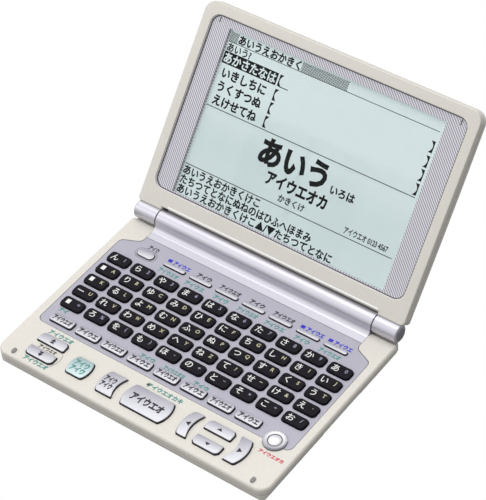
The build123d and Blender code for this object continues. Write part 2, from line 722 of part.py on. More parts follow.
with BuildPart() as lid_front_frame:
    extrude(lid_outline(LID_PLANE.offset(LID_SPLIT)), amount=LID_FACE - LID_SPLIT)
    hollow = lid_outline(LID_PLANE.offset(LID_SPLIT), LID_WALL)
    extrude(hollow, amount=SURROUND_N - LID_SPLIT, mode=Mode.SUBTRACT)
    v_mid, v_len = span(*WINDOW_V)
    with BuildSketch(LID_PLANE.offset(LID_FACE)):
        with Locations((0, v_mid)):
            RectangleRounded(2 * WINDOW_U, v_len, WINDOW_R)
    extrude(amount=SURROUND_N - LID_FACE, taper=WINDOW_TAPER, mode=Mode.SUBTRACT)
    with BuildSketch(LID_SIDE.offset(-BARREL_HALF)):
        with BuildLine():
            Polyline(
                (SLOT_BOTTOM, LID_FACE),
                (SLOT_BOTTOM, LID_FACE - SLOT_CUT[1]),
                (SLOT_BOTTOM + SLOT_CUT[0], LID_FACE),
                close=True,
            )
        make_face()
    extrude(amount=2 * BARREL_HALF, mode=Mode.SUBTRACT)
    for place in arm_places:
        block(place, (LID_BOTTOM, ARM_NOTCH_V), LID_SPLIT, ARM_N[1], LID_PLANE, Mode.SUBTRACT)
    block(GUIDE_U, (LID_BOTTOM, GUIDE_V[1]), LID_SPLIT, GUIDE_N[1], LID_PLANE, Mode.SUBTRACT)
save(lid_front_frame.part, "lid_front_frame")

with BuildPart() as lid_back_cover:
    crown_mid = ((LID_TOP + LID_BOTTOM) / 2, LID_BACK - LID_CROWN)
    with BuildSketch(LID_SIDE.offset(-LID_W / 2)):
        with BuildLine():
            Polyline(
                (LID_BOTTOM, LID_BACK),
                (LID_BOTTOM, LID_SPLIT),
                (LID_TOP, LID_SPLIT),
                (LID_TOP, LID_BACK),
            )
            ThreePointArc((LID_TOP, LID_BACK), crown_mid, (LID_BOTTOM, LID_BACK))
        make_face()
    extrude(amount=LID_W)
    extrude(lid_outline(LID_PLANE), amount=REACH, both=True, mode=Mode.INTERSECT)
    back = lid_back_cover.faces().filter_by(GeomType.CYLINDER).sort_by(Axis.Y)[-1]
    chamfer(back.edges(), LID_EDGE_CUT)
    hollow = lid_outline(LID_PLANE.offset(floor_n), LID_WALL)
    extrude(hollow, amount=LID_SPLIT - floor_n, mode=Mode.SUBTRACT)
    for place in arm_places:
        block(place, (LID_BOTTOM, ARM_NOTCH_V), floor_n, LID_SPLIT, LID_PLANE, Mode.SUBTRACT)
    block(GUIDE_U, (LID_BOTTOM, GUIDE_V[1]), GUIDE_N[0], LID_SPLIT, LID_PLANE, Mode.SUBTRACT)
    head_n = LID_BACK + LID_HEAD_T
    for low, high, radius in ((LID_BACK - LID_CROWN, head_n, HEAD_R + HEAD_GAP), (head_n, floor_n, SCREW_R)):
        with BuildSketch(LID_PLANE.offset(low)):
            with Locations(*screw_places):
                RegularPolygon(radius, SCREW_SIDES)
        extrude(amount=high - low, mode=Mode.SUBTRACT)
save(lid_back_cover.part, "lid_back_cover")

# ------------------------------------------------------------ knuckles
for name, side, arm_place in (("left_knuckle", -1, arm_places[0]), ("right_knuckle", 1, arm_places[1])):
    with BuildPart() as knuckle:
        low, high = sorted((side * KNUCKLE_IN, side * KNUCKLE_OUT))
        with BuildSketch(LID_SIDE.offset(low)):
            Circle(BARREL_R)
        extrude(amount=high - low)
        outer_end = knuckle.faces().sort_by(Axis.X)[-1 if side > 0 else 0]
        chamfer(outer_end.edges(), KNUCKLE_R)
        block(arm_place, (ARM_ROOT_V, ARM_TOP), *ARM_N, LID_PLANE)
        low, high = sorted((side * KNUCKLE_IN, side * (PIN_U[1] + PIN_END_GAP)))
        with BuildSketch(LID_SIDE.offset(low)):
            Circle(PIN_R + PIN_GAP)
        extrude(amount=high - low, mode=Mode.SUBTRACT)
        with BuildSketch(LID_PLANE.offset(ARM_N[0])):
            with Locations((side * LID_SCREW_AT[0], LID_SCREW_AT[1])):
                RegularPolygon(SCREW_R, SCREW_SIDES)
        extrude(amount=ARM_N[1] - ARM_N[0], mode=Mode.SUBTRACT)
    save(knuckle.part, name)

with BuildPart() as knuckle_caps:
    for side in (-1, 1):
        low, high = sorted((side * KNUCKLE_OUT, side * (KNUCKLE_OUT + CAP_T)))
        with BuildSketch(LID_SIDE.offset(low)):
            Circle(CAP_R)
        extrude(amount=high - low)
save(knuckle_caps.part, "knuckle_caps")

# ------------------------------------------------------------ screen
with BuildPart() as screen_surround:
    block((-SURROUND_U, SURROUND_U), SURROUND_V, PANEL_N, SURROUND_N, LID_PLANE)
    block((-SCREEN_U, SCREEN_U), SCREEN_V, PANEL_N, SURROUND_N, LID_PLANE, Mode.SUBTRACT)
save(screen_surround.part, "screen_surround")

with BuildPart() as display_window:
    block((-SCREEN_U, SCREEN_U), SCREEN_V, PANEL_N, GLASS_N, LID_PLANE)
save(display_window.part, "display_window")

with BuildPart() as lcd_panel:
    block((-LCD_U, LCD_U), LCD_V, LIGHT_N, PANEL_N, LID_PLANE)
save(lcd_panel.part, "lcd_panel")

with BuildPart() as backlight_plate:
    block((-LCD_U, LCD_U), LCD_V, floor_n, LIGHT_N, LID_PLANE)
save(backlight_plate.part, "backlight_plate")

with BuildPart() as display_board:
    block((-BOARD_U, BOARD_U), BOARD_V, floor_n, floor_n + BOARD_N, LID_PLANE)
save(display_board.part, "display_board")

with BuildPart() as cable_guide:
    block(GUIDE_U, GUIDE_V, *GUIDE_N, LID_PLANE)
save(cable_guide.part, "cable_guide")

with BuildPart() as flex_cable:
    cable_u = (GUIDE_U[0] + CABLE_EDGE, -BOARD_U)
    block(cable_u, (GUIDE_V[1], BOARD_V[1]), floor_n, floor_n + CABLE_T, LID_PLANE)
save(flex_cable.part, "flex_cable")

with BuildPart() as lid_screws:
    for low, high, radius in ((LID_BACK + HEAD_GAP, head_n, HEAD_R), (head_n, ARM_N[1], SCREW_R)):
        with BuildSketch(LID_PLANE.offset(low)):
            with Locations(*screw_places):
                RegularPolygon(radius, SCREW_SIDES)
        extrude(amount=high - low)
save(lid_screws.part, "lid_screws")
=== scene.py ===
import json
import logging
import math
from dataclasses import dataclass, field
from enum import Enum
from typing import Callable, Iterable, NamedTuple, Sequence

import bmesh
import bpy
from mathutils import Matrix, Vector


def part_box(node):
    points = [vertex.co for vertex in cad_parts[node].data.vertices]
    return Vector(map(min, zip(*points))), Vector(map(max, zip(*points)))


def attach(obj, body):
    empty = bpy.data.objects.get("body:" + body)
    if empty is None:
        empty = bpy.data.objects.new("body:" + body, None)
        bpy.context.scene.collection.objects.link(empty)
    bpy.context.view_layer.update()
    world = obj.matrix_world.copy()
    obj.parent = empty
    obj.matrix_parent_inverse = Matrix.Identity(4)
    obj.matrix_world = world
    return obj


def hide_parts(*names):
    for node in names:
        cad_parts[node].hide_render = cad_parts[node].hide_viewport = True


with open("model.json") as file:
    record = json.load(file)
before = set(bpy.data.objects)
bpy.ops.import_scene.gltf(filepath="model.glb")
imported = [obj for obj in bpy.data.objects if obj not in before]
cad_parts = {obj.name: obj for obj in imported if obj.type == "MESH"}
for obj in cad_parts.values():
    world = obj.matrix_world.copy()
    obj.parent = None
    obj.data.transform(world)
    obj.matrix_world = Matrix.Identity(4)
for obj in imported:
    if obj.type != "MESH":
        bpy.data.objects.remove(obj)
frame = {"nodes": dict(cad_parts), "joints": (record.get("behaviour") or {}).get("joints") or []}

# Sizes and places are in millimetres, unless a name or a comment says otherwise.
LOG = logging.getLogger("dictionary")
MM = 0.001
HINGE_IN_BASE = Vector((0.0, 47.35, 13.6))  # the hinge's axis in the axes of the base
BUTTON_AT = (59.85, -28.1)                  # middle of the round key
PRINT_T = 0.015                             # thickness of a printed mark
OVAL_FLAT = 0.02                            # half length of the flat left at each end of an oval
FLANGE_W = 0.7                              # how far a key's flange reaches beyond its sides
FINE_GRAIN = 5200.0                         # waves of paint flake in a metre
PLAIN_ORDER = "アイウエオカキクケコサシスセソ"
Point = tuple[float, float]
Colour = tuple[float, float, float]
Shape = Callable[[float], list[Point]]
Corners = Callable[[Vector], float]
Socket = bpy.types.NodeSocket


def linear(colour: Colour) -> tuple[float, float, float, float]:
    """Turn a display colour of 0 to 255 into the linear colour that a shader takes.

    Args:
        colour: red, green and blue, 0 to 255.

    Returns:
        Linear red, green, blue and an alpha of 1.
    """
    parts = [c / 255 for c in colour]
    return (*[p / 12.92 if p <= 0.04045 else ((p + 0.055) / 1.055) ** 2.4 for p in parts], 1.0)


# ------------------------------------------------------------------ places
@dataclass(frozen=True)
class Axes:
    """A set of axes in which a sub-assembly is drawn, in millimetres."""

    origin: Vector
    u: Vector
    v: Vector
    n: Vector

    def matrix(self) -> Matrix:
        """Matrix from these axes, in millimetres, to the model's own, in metres."""
        turn = Matrix((self.u, self.v, self.n)).transposed().to_4x4()
        return Matrix.Translation(self.origin * MM) @ turn @ Matrix.Scale(MM, 4)


def hinge_joint() -> dict:
    """The joint between the base and the lid."""
    return next(j for j in frame["joints"] if j["name"] == "lid_hinge")


def hinge_at() -> Vector:
    """Place of the hinge's axis in the model's own axes."""
    return Vector(hinge_joint()["pos_m"]) / MM


def base_axes() -> Axes:
    """Axes of the base, from the middle of its flat underside."""
    return Axes(hinge_at() - HINGE_IN_BASE, Vector((1, 0, 0)), Vector((0, 1, 0)), Vector((0, 0, 1)))


def side_axes(origin: Vector) -> Axes:
    """Axes for a form drawn from the side: u to the rear, v up and n to the right."""
    return Axes(origin, Vector((0, 1, 0)), Vector((0, 0, 1)), Vector((1, 0, 0)))


def lid_axes() -> Axes:
    """Axes of the lid at rest.

    Returns:
        Axes with u across, v up the lid from the hinge and n out of the screen.
    """
    angle = math.radians(-hinge_joint()["range_deg"][0])
    v = Vector((0, -math.cos(angle), math.sin(angle)))
    n = Vector((0, -math.sin(angle), -math.cos(angle)))
    return Axes(hinge_at(), Vector((1, 0, 0)), v, n)


def node_span(node: str) -> tuple[Vector, Vector]:
    """Lowest and highest corner of a node of the base, in the base's axes."""
    origin = base_axes().origin
    return tuple(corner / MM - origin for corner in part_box(node))


def middle(node: str) -> Point:
    """Centre of a node of the base, across and up."""
    low, high = node_span(node)
    return (low.x + high.x) / 2, (low.y + high.y) / 2


# ------------------------------------------------------------------ finishes
class Shader:
    """A node tree with one Principled shader, and short calls to add nodes to it."""

    def __init__(self, name: str) -> None:
        """Start an empty material.

        Args:
            name: name of the material.
        """
        self.material = bpy.data.materials.new(name)
        self.material.use_nodes = True
        self.tree = self.material.node_tree
        self.body = self.tree.nodes["Principled BSDF"]

    def add(self, kind: str, **settings: object) -> bpy.types.Node:
        """Add one node.

        Args:
            kind: node type, such as ShaderNodeTexNoise.
            settings: properties, or input sockets where no property has the name.

        Returns:
            The new node.
        """
        node = self.tree.nodes.new(kind)
        for key, value in settings.items():
            if hasattr(node, key):
                setattr(node, key, value)
            else:
                node.inputs[key.replace("_", " ")].default_value = value
        return node

    def join(self, out: Socket, into: Socket) -> None:
        """Link one socket into another."""
        self.tree.links.new(out, into)

    def place(self) -> Socket:
        """Object coordinates, in metres."""
        return self.add("ShaderNodeTexCoord").outputs["Object"]

    def noise(self, scale: float, detail: float = 2.0) -> Socket:
        """Noise over the object's own coordinates.

        Args:
            scale: waves in a metre.
            detail: octaves of finer noise.

        Returns:
            The noise, 0 to 1.
        """
        node = self.add("ShaderNodeTexNoise", Scale=scale, Detail=detail)
        self.join(self.place(), node.inputs["Vector"])
        return node.outputs["Fac"]

    def along(self, direction: Vector) -> Socket:
        """Dot product of the object's coordinates and a direction.

        Args:
            direction: direction, in waves or dots a metre.

        Returns:
            The number of waves or dots from the origin.
        """
        node = self.add("ShaderNodeVectorMath", operation="DOT_PRODUCT")
        self.join(self.place(), node.inputs[0])
        node.inputs[1].default_value = direction
        return node.outputs["Value"]

    def scaled(self, value: Socket, by: float, plus: float | Socket) -> Socket:
        """Multiply a value and add to it.

        Args:
            value: value to change.
            by: factor.
            plus: number or other value that is added.

        Returns:
            The new value.
        """
        node = self.add("ShaderNodeMath", operation="MULTIPLY_ADD")
        self.join(value, node.inputs[0])
        node.inputs[1].default_value = by
        if isinstance(plus, Socket):
            self.join(plus, node.inputs[2])
        else:
            node.inputs[2].default_value = plus
        return node.outputs[0]

    def ramp(self, value: Socket, stops: Sequence[tuple[float, Colour]]) -> Socket:
        """Turn a value into a colour.

        Args:
            value: value of 0 to 1.
            stops: places on the ramp, in order, and their display colours.

        Returns:
            The colour.
        """
        node = self.add("ShaderNodeValToRGB")
        band = node.color_ramp
        for end in (0, -1):
            band.elements[end].position, band.elements[end].color = stops[end][0], linear(stops[end][1])
        for place, colour in stops[1:-1]:
            band.elements.new(place).color = linear(colour)
        self.join(value, node.inputs["Fac"])
        return node.outputs["Color"]

    def blend(self, share: Socket, first: tuple[float, ...], second: Socket) -> Socket:
        """Blend two colours.

        Args:
            share: share of the second colour, 0 to 1.
            first: linear colour.
            second: colour of another node.

        Returns:
            The blended colour.
        """
        node = self.add("ShaderNodeMix", data_type="RGBA")
        self.join(share, node.inputs[0])
        node.inputs[6].default_value = first
        self.join(second, node.inputs[7])
        return node.outputs[2]

    def span(self, value: Socket, low: float, high: float, start: float = 0.0, end: float = 1.0) -> Socket:
        """Map a value from one range to another.

        Args:
            value: value to map.
            low: result at the start of its range.
            high: result at the end of its range.
            start: start of its range.
            end: end of its range.

        Returns:
            The mapped value.
        """
        node = self.add("ShaderNodeMapRange")
        for name, number in (("From Min", start), ("From Max", end), ("To Min", low), ("To Max", high)):
            node.inputs[name].default_value = number
        self.join(value, node.inputs["Value"])
        return node.outputs["Result"]

    def tint(self, value: Socket, stops: Sequence[tuple[float, Colour]]) -> None:
        """Colour the surface by a value, through stops of place and display colour."""
        self.join(self.ramp(value, stops), self.body.inputs["Base Color"])

    def mottle(self, value: Socket, colour: Colour, dark: Point, light: Point) -> None:
        """Colour the surface between two shades, each given by its place on the ramp and its factor."""
        self.tint(value, [(place, shade(colour, factor)) for place, factor in (dark, light)])

    def rough(self, value: Socket, low: float, high: float) -> None:
        """Set the roughness by a value of 0 to 1."""
        self.join(self.span(value, low, high), self.body.inputs["Roughness"])

    def bump(self, height: Socket, strength: float, distance: float) -> None:
        """Raise the surface.

        Args:
            height: height of 0 to 1.
            strength: strength of the effect.
            distance: distance that a height of 1 stands for, in metres.
        """
        node = self.add("ShaderNodeBump", Strength=strength, Distance=distance)
        self.join(height, node.inputs["Height"])
        self.join(node.outputs["Normal"], self.body.inputs["Normal"])

    def set(self, **sockets: object) -> None:
        """Set sockets of the shader to constants."""
        for key, value in sockets.items():
            self.body.inputs[key.replace("_", " ")].default_value = value


def shade(colour: Colour, by: float) -> Colour:
    """Colour made lighter or darker by a factor."""
    return tuple(min(255.0, c * by) for c in colour)


@dataclass(frozen=True)
class Coating:
    """What every finish has. Each kind of finish lays its own nodes."""

    name: str
    colour: Colour

    def build(self) -> bpy.types.Material:
        """Make the material.

        Returns:
            The new material.
        """
        s = Shader(self.name)
        self.lay(s)
        return s.material

    def lay(self, s: Shader) -> None:
        """Add the nodes of the finish to a shader."""
        raise NotImplementedError(self.name)


@dataclass(frozen=True)
class Paint(Coating):
    """Satin paint with fine metal flake, faint clouding and a soft coat."""

    metallic: float = 0.25
    roughness: float = 0.38
    coat: float = 0.15
    flake: float = 0.035
    cloud: float = 0.015
    relief: float = 0.06

    def lay(self, s: Shader) -> None:
        """Add the nodes of the paint.

        Args:
            s: shader to add to.
        """
        flake = s.noise(FINE_GRAIN, 1.0)
        dark, light = 1 - self.flake - self.cloud, 1 + self.flake + self.cloud
        s.mottle(flake, self.colour, (0.3, dark), (0.7, light))
        s.rough(s.noise(260.0, 3.0), self.roughness - 0.04, self.roughness + 0.05)
        s.bump(flake, self.relief, 0.00004)
        s.set(Metallic=self.metallic, Coat_Weight=self.coat, Coat_Roughness=0.25)


@dataclass(frozen=True)
class KeyPaintWithPaintedLight(Coating):
    """Silver paint with painted light: a painted highlight makes each key paler towards its front and right,
    and painted shade darkens its sides.
    """

    # front: top colour at the front end of the painted highlight; side: painted shade on the key's sides
    front: Colour
    side: Colour
    metallic: float = 0.3
    roughness: float = 0.34
    # painted highlight: how the top colour changes across, forward and from its start
    painted_light_fade: tuple[float, float, float] = (0.25, -0.7, 0.75)
    stops: Point = (0.1, 0.85)
    # painted shade: the facing, from sides to top, over which the sides' painted shade gives way to the top
    # colour
    turn: Point = (0.25, 0.72)

    def lay(self, s: Shader) -> None:
        """Add the nodes of the paint.

        Args:
            s: shader to add to.
        """
        coords = s.add("ShaderNodeTexCoord")
        place, facing = s.add("ShaderNodeSeparateXYZ"), s.add("ShaderNodeSeparateXYZ")
        s.join(coords.outputs["Generated"], place.inputs[0])
        s.join(coords.outputs["Normal"], facing.inputs[0])
        # painted highlight across the top, paler towards the front and right
        across, forward, start = self.painted_light_fade
        painted_light_fade = s.scaled(place.outputs["X"], across, s.scaled(place.outputs["Y"], forward, start))
        top = s.ramp(painted_light_fade, tuple(zip(self.stops, (self.colour, self.front))))
        # painted shade on faces that turn away from upwards
        turned = s.span(facing.outputs["Z"], 0.0, 1.0, *self.turn)
        s.join(s.blend(turned, linear(self.side), top), s.body.inputs["Base Color"])
        grain = s.noise(FINE_GRAIN, 1.0)
        s.rough(grain, self.roughness - 0.04, self.roughness + 0.04)
        s.join(s.span(turned, 0.0, self.metallic), s.body.inputs["Metallic"])
        s.bump(grain, 0.03, 0.00003)
        s.set(Coat_Weight=0.15, Coat_Roughness=0.2)


@dataclass(frozen=True)
class Plastic(Coating):
    """Moulded plastic with a fine grain."""

    roughness: float = 0.42
    grain: float = 0.05
    grain_scale: float = 3600.0
    specular: float = 0.5

    def lay(self, s: Shader) -> None:
        """Add the nodes of the plastic.

        Args:
            s: shader to add to.
        """
        grain = s.noise(self.grain_scale, 3.0)
        s.mottle(grain, self.colour, (0.25, 1 - self.grain), (0.75, 1 + self.grain))
        s.rough(s.noise(500.0), self.roughness - 0.05, self.roughness + 0.05)
        s.bump(grain, 0.12, 0.00005)
        s.set(Specular_IOR_Level=self.specular, Coat_Weight=0.0, Coat_Roughness=0.12)


@dataclass(frozen=True)
class Metal(Coating):
    """Drawn or plated metal with fine brushing along one direction."""

    roughness: float = 0.25
    stretch: tuple[float, float, float] = (1.0, 12.0, 12.0)

    def lay(self, s: Shader) -> None:
        """Add the nodes of the metal.

        Args:
            s: shader to add to.
        """
        mapping = s.add("ShaderNodeMapping")
        mapping.inputs["Scale"].default_value = self.stretch
        s.join(s.place(), mapping.inputs["Vector"])
        noise = s.add("ShaderNodeTexNoise", Scale=900.0, Detail=4.0)
        s.join(mapping.outputs["Vector"], noise.inputs["Vector"])
        brushing = noise.outputs["Fac"]
        s.mottle(brushing, self.colour, (0.2, 0.9), (0.8, 1.06))
        s.rough(brushing, self.roughness - 0.06, self.roughness + 0.08)
        s.bump(brushing, 0.08, 0.00003)
        s.set(Metallic=1.0)


@dataclass(frozen=True)
class Ink(Coating):
    """Screen-printed ink: flat colour broken by the fine unevenness of a print."""

    roughness: float = 0.5

    def lay(self, s: Shader) -> None:
        """Add the nodes of the ink.

        Args:
            s: shader to add to.
        """
        grain = s.noise(7000.0, 2.0)
        s.mottle(grain, self.colour, (0.3, 0.92), (0.7, 1.05))
        s.rough(grain, self.roughness - 0.05, self.roughness + 0.08)
        s.set(Specular_IOR_Level=0.15)


@dataclass(frozen=True)
class LatticePrint(Coating):
    """Printed film with fine diagonal lines, crossed by faint ones, in the lid's own axes."""

    line: Colour
    pitch: float
    axes: Axes
    second: float = 0.25

    def lay(self, s: Shader) -> None:
        """Add the nodes of the print.

        Args:
            s: shader to add to.
        """
        strong, weak = self.wave(s, 1.0), self.wave(s, -1.0)
        both = s.scaled(strong, 1 - self.second, s.span(weak, 0.0, self.second))
        stops = ((0.12, self.line), (0.55, self.colour), (1.0, shade(self.colour, 1.08)))
        s.tint(s.span(both, 0.0, 1.0), stops)
        s.rough(both, 0.32, 0.5)
        s.set(Metallic=0.2, Coat_Weight=0.3, Coat_Roughness=0.2)

    def wave(self, s: Shader, sign: float) -> Socket:
        """Smooth stripes at 45 degrees to one side.

        Args:
            s: shader to add to.
            sign: which side the stripes lean to.

        Returns:
            The stripes, 0 to 1.
        """
        waves = math.tau / (self.pitch * MM * math.sqrt(2))
        sine = s.add("ShaderNodeMath", operation="SINE")
        s.join(s.along((self.axes.u + self.axes.v * sign) * waves), sine.inputs[0])
        return s.scaled(sine.outputs[0], 0.5, 0.5)


@dataclass(frozen=True)
class CrystalPanel(Coating):
    """Liquid-crystal panel: pale ground with a faint grid of dots, and a painted glow that lifts the shade on
    it.
    """

    pitch: float
    axes: Axes
    painted_glow: float

    def lay(self, s: Shader) -> None:
        """Add the nodes of the panel.

        Args:
            s: shader to add to.
        """
        lines = s.add("ShaderNodeMath", operation="MINIMUM")
        for socket, axis in zip(lines.inputs, (self.axes.u, self.axes.v)):
            s.join(self.gap(s, axis), socket)
        gap, ground, bright = shade(self.colour, 0.965), self.colour, shade(self.colour, 1.01)
        s.tint(lines.outputs[0], ((0.0, gap), (0.5, ground), (1.0, bright)))
        s.rough(s.noise(900.0, 4.0), 0.65, 0.8)
        # painted glow: emission that lifts the shade on the panel
        s.set(Specular_IOR_Level=0.05, Emission_Color=linear(self.colour), Emission_Strength=self.painted_glow)

    def gap(self, s: Shader, axis: Vector) -> Socket:
        """Value that falls to 0 at the gaps between dots.

        Args:
            s: shader to add to.
            axis: direction in which the dots follow each other.

        Returns:
            The value, 0 to 0.5.
        """
        wave = s.add("ShaderNodeMath", operation="PINGPONG")
        s.join(s.along(axis / (self.pitch * MM)), wave.inputs[0])
        wave.inputs[1].default_value = 0.5
        return wave.outputs[0]


@dataclass(frozen=True)
class ClearSheet(Coating):
    """Thin clear sheet that lets the panel behind it show."""

    alpha: float = 0.07

    def lay(self, s: Shader) -> None:
        """Add the nodes of the sheet."""
        s.rough(s.noise(300.0), 0.03, 0.09)
        s.set(Base_Color=linear(self.colour), Alpha=self.alpha)


class Finish(Enum):
    """The finishes of the dictionary, each built once."""

    SHELL = Paint("champagne_shell", (216, 212, 204), metallic=0.12, roughness=0.42)
    PANEL = Paint("lilac_panel", (172, 170, 183), metallic=0.2, roughness=0.42)
    BARREL = Paint(
        "hinge_barrel_paint", (202, 200, 209), metallic=0.78, roughness=0.36,
        coat=0.1, flake=0.012, cloud=0.01, relief=0.015,
    )
    # colours are back, front and side: the change from back to front is a painted highlight, the side colour
    # is painted shade
    SILVER = KeyPaintWithPaintedLight("silver_keys", (150, 148, 160), (216, 216, 222), (46, 44, 52))
    TINTED = KeyPaintWithPaintedLight("tinted_key", (140, 160, 164), (204, 222, 223), (46, 44, 52))
    # painted highlight at the ring's back, painted shade at its front and sides
    RING = KeyPaintWithPaintedLight(
        "silver_ring", (250, 250, 252), (140, 138, 147), (92, 90, 98), metallic=0.5, roughness=0.28
    )
    # painted highlight at the dome's front, painted shade on its sides
    DOME = KeyPaintWithPaintedLight("silver_dome", (206, 206, 212), (255, 255, 255), (168, 167, 174), roughness=0.3)
    BLACK = Plastic("black_keys", (17, 13, 22), grain=0.12, specular=0.11)
    SURROUND = LatticePrint(
        "screen_surround_print", (208, 206, 214), (128, 126, 139), pitch=1.02, axes=lid_axes(), second=0.15
    )
    WINDOW = ClearSheet("display_sheet", (176, 186, 186), alpha=0.015)
    # painted glow lifts the shade on the crystal panel
    CRYSTAL = CrystalPanel("crystal_panel", (201, 214, 215), pitch=0.24, axes=lid_axes(), painted_glow=0.26)
    CRYSTAL_MARK = Ink("crystal_marks", (6, 7, 9), roughness=0.6)
    WHITE_PLASTIC = Plastic("white_diffuser", (235, 235, 230))
    BOARD = Plastic("board_laminate", (38, 84, 52), 0.35, 0.2, grain_scale=1500.0)
    RUBBER = Plastic("grey_rubber", (138, 136, 134), 0.7, 0.1, grain_scale=2500.0, specular=0.3)
    SOFT_MAT = Plastic("mat_rubber", (200, 204, 208), 0.65, 0.06)
    DARK = Plastic("dark_plastic", (62, 60, 66), 0.45, 0.1)
    SEAM = Plastic("seam_shadow", (84, 81, 80), 0.6, 0.1)
    DEEP_SEAM = Plastic("deep_seam_shadow", (48, 46, 50), 0.6, 0.1)
    RIM = Paint("window_rim_paint", (232, 231, 236), 0.3, 0.34)
    # painted highlight: white strip along the lid's lower edge, where light catches it
    BRIGHT_EDGE = Paint("lid_edge_painted_highlight", (255, 255, 255), metallic=0.0, roughness=0.4, flake=0.0)
    # painted shade: a dark sheet under the keys that darkens the gaps round them
    WELL = Plastic("key_well_shade", (30, 28, 32), 0.8, 0.1, specular=0.1)
    CAP = Plastic("hinge_cap", (122, 120, 128), 0.4, 0.08)
    STEEL = Metal("hinge_steel", (200, 200, 204))
    SCREW = Metal("screw_steel", (120, 120, 124), 0.35)
    SLEEVE = Plastic("cell_sleeve", (70, 92, 118), 0.3, 0.05)
    FILM = Plastic("cable_film", (186, 112, 44), 0.3, 0.08)
    WHITE_INK = Ink("white_legend", (238, 238, 236))
    CREAM_INK = Ink("cream_legend", (206, 201, 168))
    LILAC_INK = Ink("lilac_legend", (158, 157, 182))
    TEAL_INK = Ink("teal_print", (84, 148, 142))
    BLUE_INK = Ink("blue_print", (64, 60, 196))
    LINE_INK = Ink("line_print", (104, 101, 108))
    DARK_INK = Ink("dark_print", (56, 54, 62))
    RED_INK = Ink("red_print", (206, 62, 84))

    def material(self) -> bpy.types.Material:
        """The built material, made on the first call."""
        made = bpy.data.materials.get(self.value.name)
        return made or self.value.build()


def dress(node: str, finish: Finish) -> None:
    """Give a CAD node its finish.

    Args:
        node: name of the node.
        finish: its finish.
    """
    mesh = frame["nodes"][node].data
    mesh.materials.clear()
    mesh.materials.append(finish.material())
    LOG.info("%s: dressed in %s", node, finish.value.name)


# ------------------------------------------------------------------ mesh maker
def rectangle(u: float, v: float, width: float, height: float) -> list[Point]:
    """Corners of a rectangle about a centre, counter-clockwise."""
    a, b = width / 2, height / 2
    return [(u - a, v - b), (u + a, v - b), (u + a, v + b), (u - a, v + b)]


def bowed(
    u: float, v: float, width: float, height: float, left: float, right: float, steps: int = 10
) -> list[Point]:
    """Rectangle whose left and right sides bow out, or in where the bulge is negative.

    Args:
        u: centre across.
        v: centre up.
        width: greatest width.
        height: height.
        left: bulge of the left side.
        right: bulge of the right side.
        steps: parts that each bowed side has.

    Returns:
        Outline points, counter-clockwise, whose first is the lower left corner.
    """
    a, b = width / 2, height / 2
    left_u, right_u = u - a + max(left, 0), u + a - max(right, 0)
    side = [1 - (2 * i / steps - 1) ** 2 for i in range(steps + 1)]
    up = [(right_u + right * s, v - b + 2 * b * i / steps) for i, s in enumerate(side)]
    down = [(left_u - left * s, v + b - 2 * b * i / steps) for i, s in enumerate(side)]
    return up + down


def quarter(steps: int) -> list[float]:
    """Angles of a quarter turn in so many parts."""
    return [math.pi / 2 * i / steps for i in range(steps + 1)]


def neighbours(count: int) -> list[tuple[int, int]]:
    """Pairs of neighbours round a closed ring."""
    return [(i, (i + 1) % count) for i in range(count)]


def arc(u: float, v: float, radius: float, start: float, end: float, steps: int = 6) -> list[Point]:
    """Points along an arc, between two angles in degrees."""
    turns = [math.radians(start + (end - start) * i / steps) for i in range(steps + 1)]
    return [(u + radius * math.cos(t), v + radius * math.sin(t)) for t in turns]


def rounded(u: float, v: float, width: float, height: float, radius: float) -> Shape:
    """Rounded rectangle about a centre.

    Args:
        u: centre across.
        v: centre up.
        width: width.
        height: height.
        radius: radius of the corners.

    Returns:
        The outline, as a function of how far it is grown.
    """

    def shape(grow: float) -> list[Point]:
        """Outline of the rectangle.

        Args:
            grow: how far it is grown.

        Returns:
            Outline points, counter-clockwise.
        """
        a, b, r = width / 2 - radius, height / 2 - radius, radius + grow
        corners = ((a, b, 0), (-a, b, 90), (-a, -b, 180), (a, -b, 270))
        return [p for x, y, turn in corners for p in arc(u + x, v + y, r, turn, turn + 90)]

    return shape


def mirrored(right: list[Point]) -> list[Point]:
    """Outline made of its right half, drawn upwards, and the mirror image of that half."""
    return right + [(-u, v) for u, v in reversed(right)]


def panel_shape(grow: float) -> list[Point]:
    """Keyboard panel, with S-curves that clear the two ears of the base.

    Args:
        grow: how far the outline is grown.

    Returns:
        Outline points, counter-clockwise.
    """
    side, inner, front, turn_y, back = 68.3 + grow, 59.0 + grow, -29.6 - grow, 27.0 + grow, 36.45 + grow
    radius, turn, notch, steps = 3.0, 67.0, 4.0, 6
    sine, cosine = math.sin(math.radians(turn)), math.cos(math.radians(turn))
    run = side - inner - 2 * radius * (1 - cosine)
    end_u = side - radius + radius * cosine - run
    end_v = turn_y + radius * sine + run * cosine / sine
    half = arc(side - radius, front + radius, radius, -90, 0)
    half += arc(side - radius, turn_y, radius, 0, turn)
    half += [
        (end_u + radius * (cosine - math.cos(t)), end_v + radius * (sine - math.sin(t)))
        for t in [math.radians(turn * (1 - i / steps)) for i in range(steps + 1)]
    ]
    half.append((inner, back))
    return button_notch(front, notch - grow) + mirrored(half)


def button_notch(front: float, radius: float) -> list[Point]:
    """Bay in the panel's front edge, under the ring of the round key.

    Args:
        front: place of the front edge.
        radius: radius of the bay.

    Returns:
        Points of the bay, from left to right.
    """
    u, v = BUTTON_AT
    dip = math.degrees(math.asin((v - front) / radius))
    return arc(u, v, radius, 180 + dip, -dip, 16)


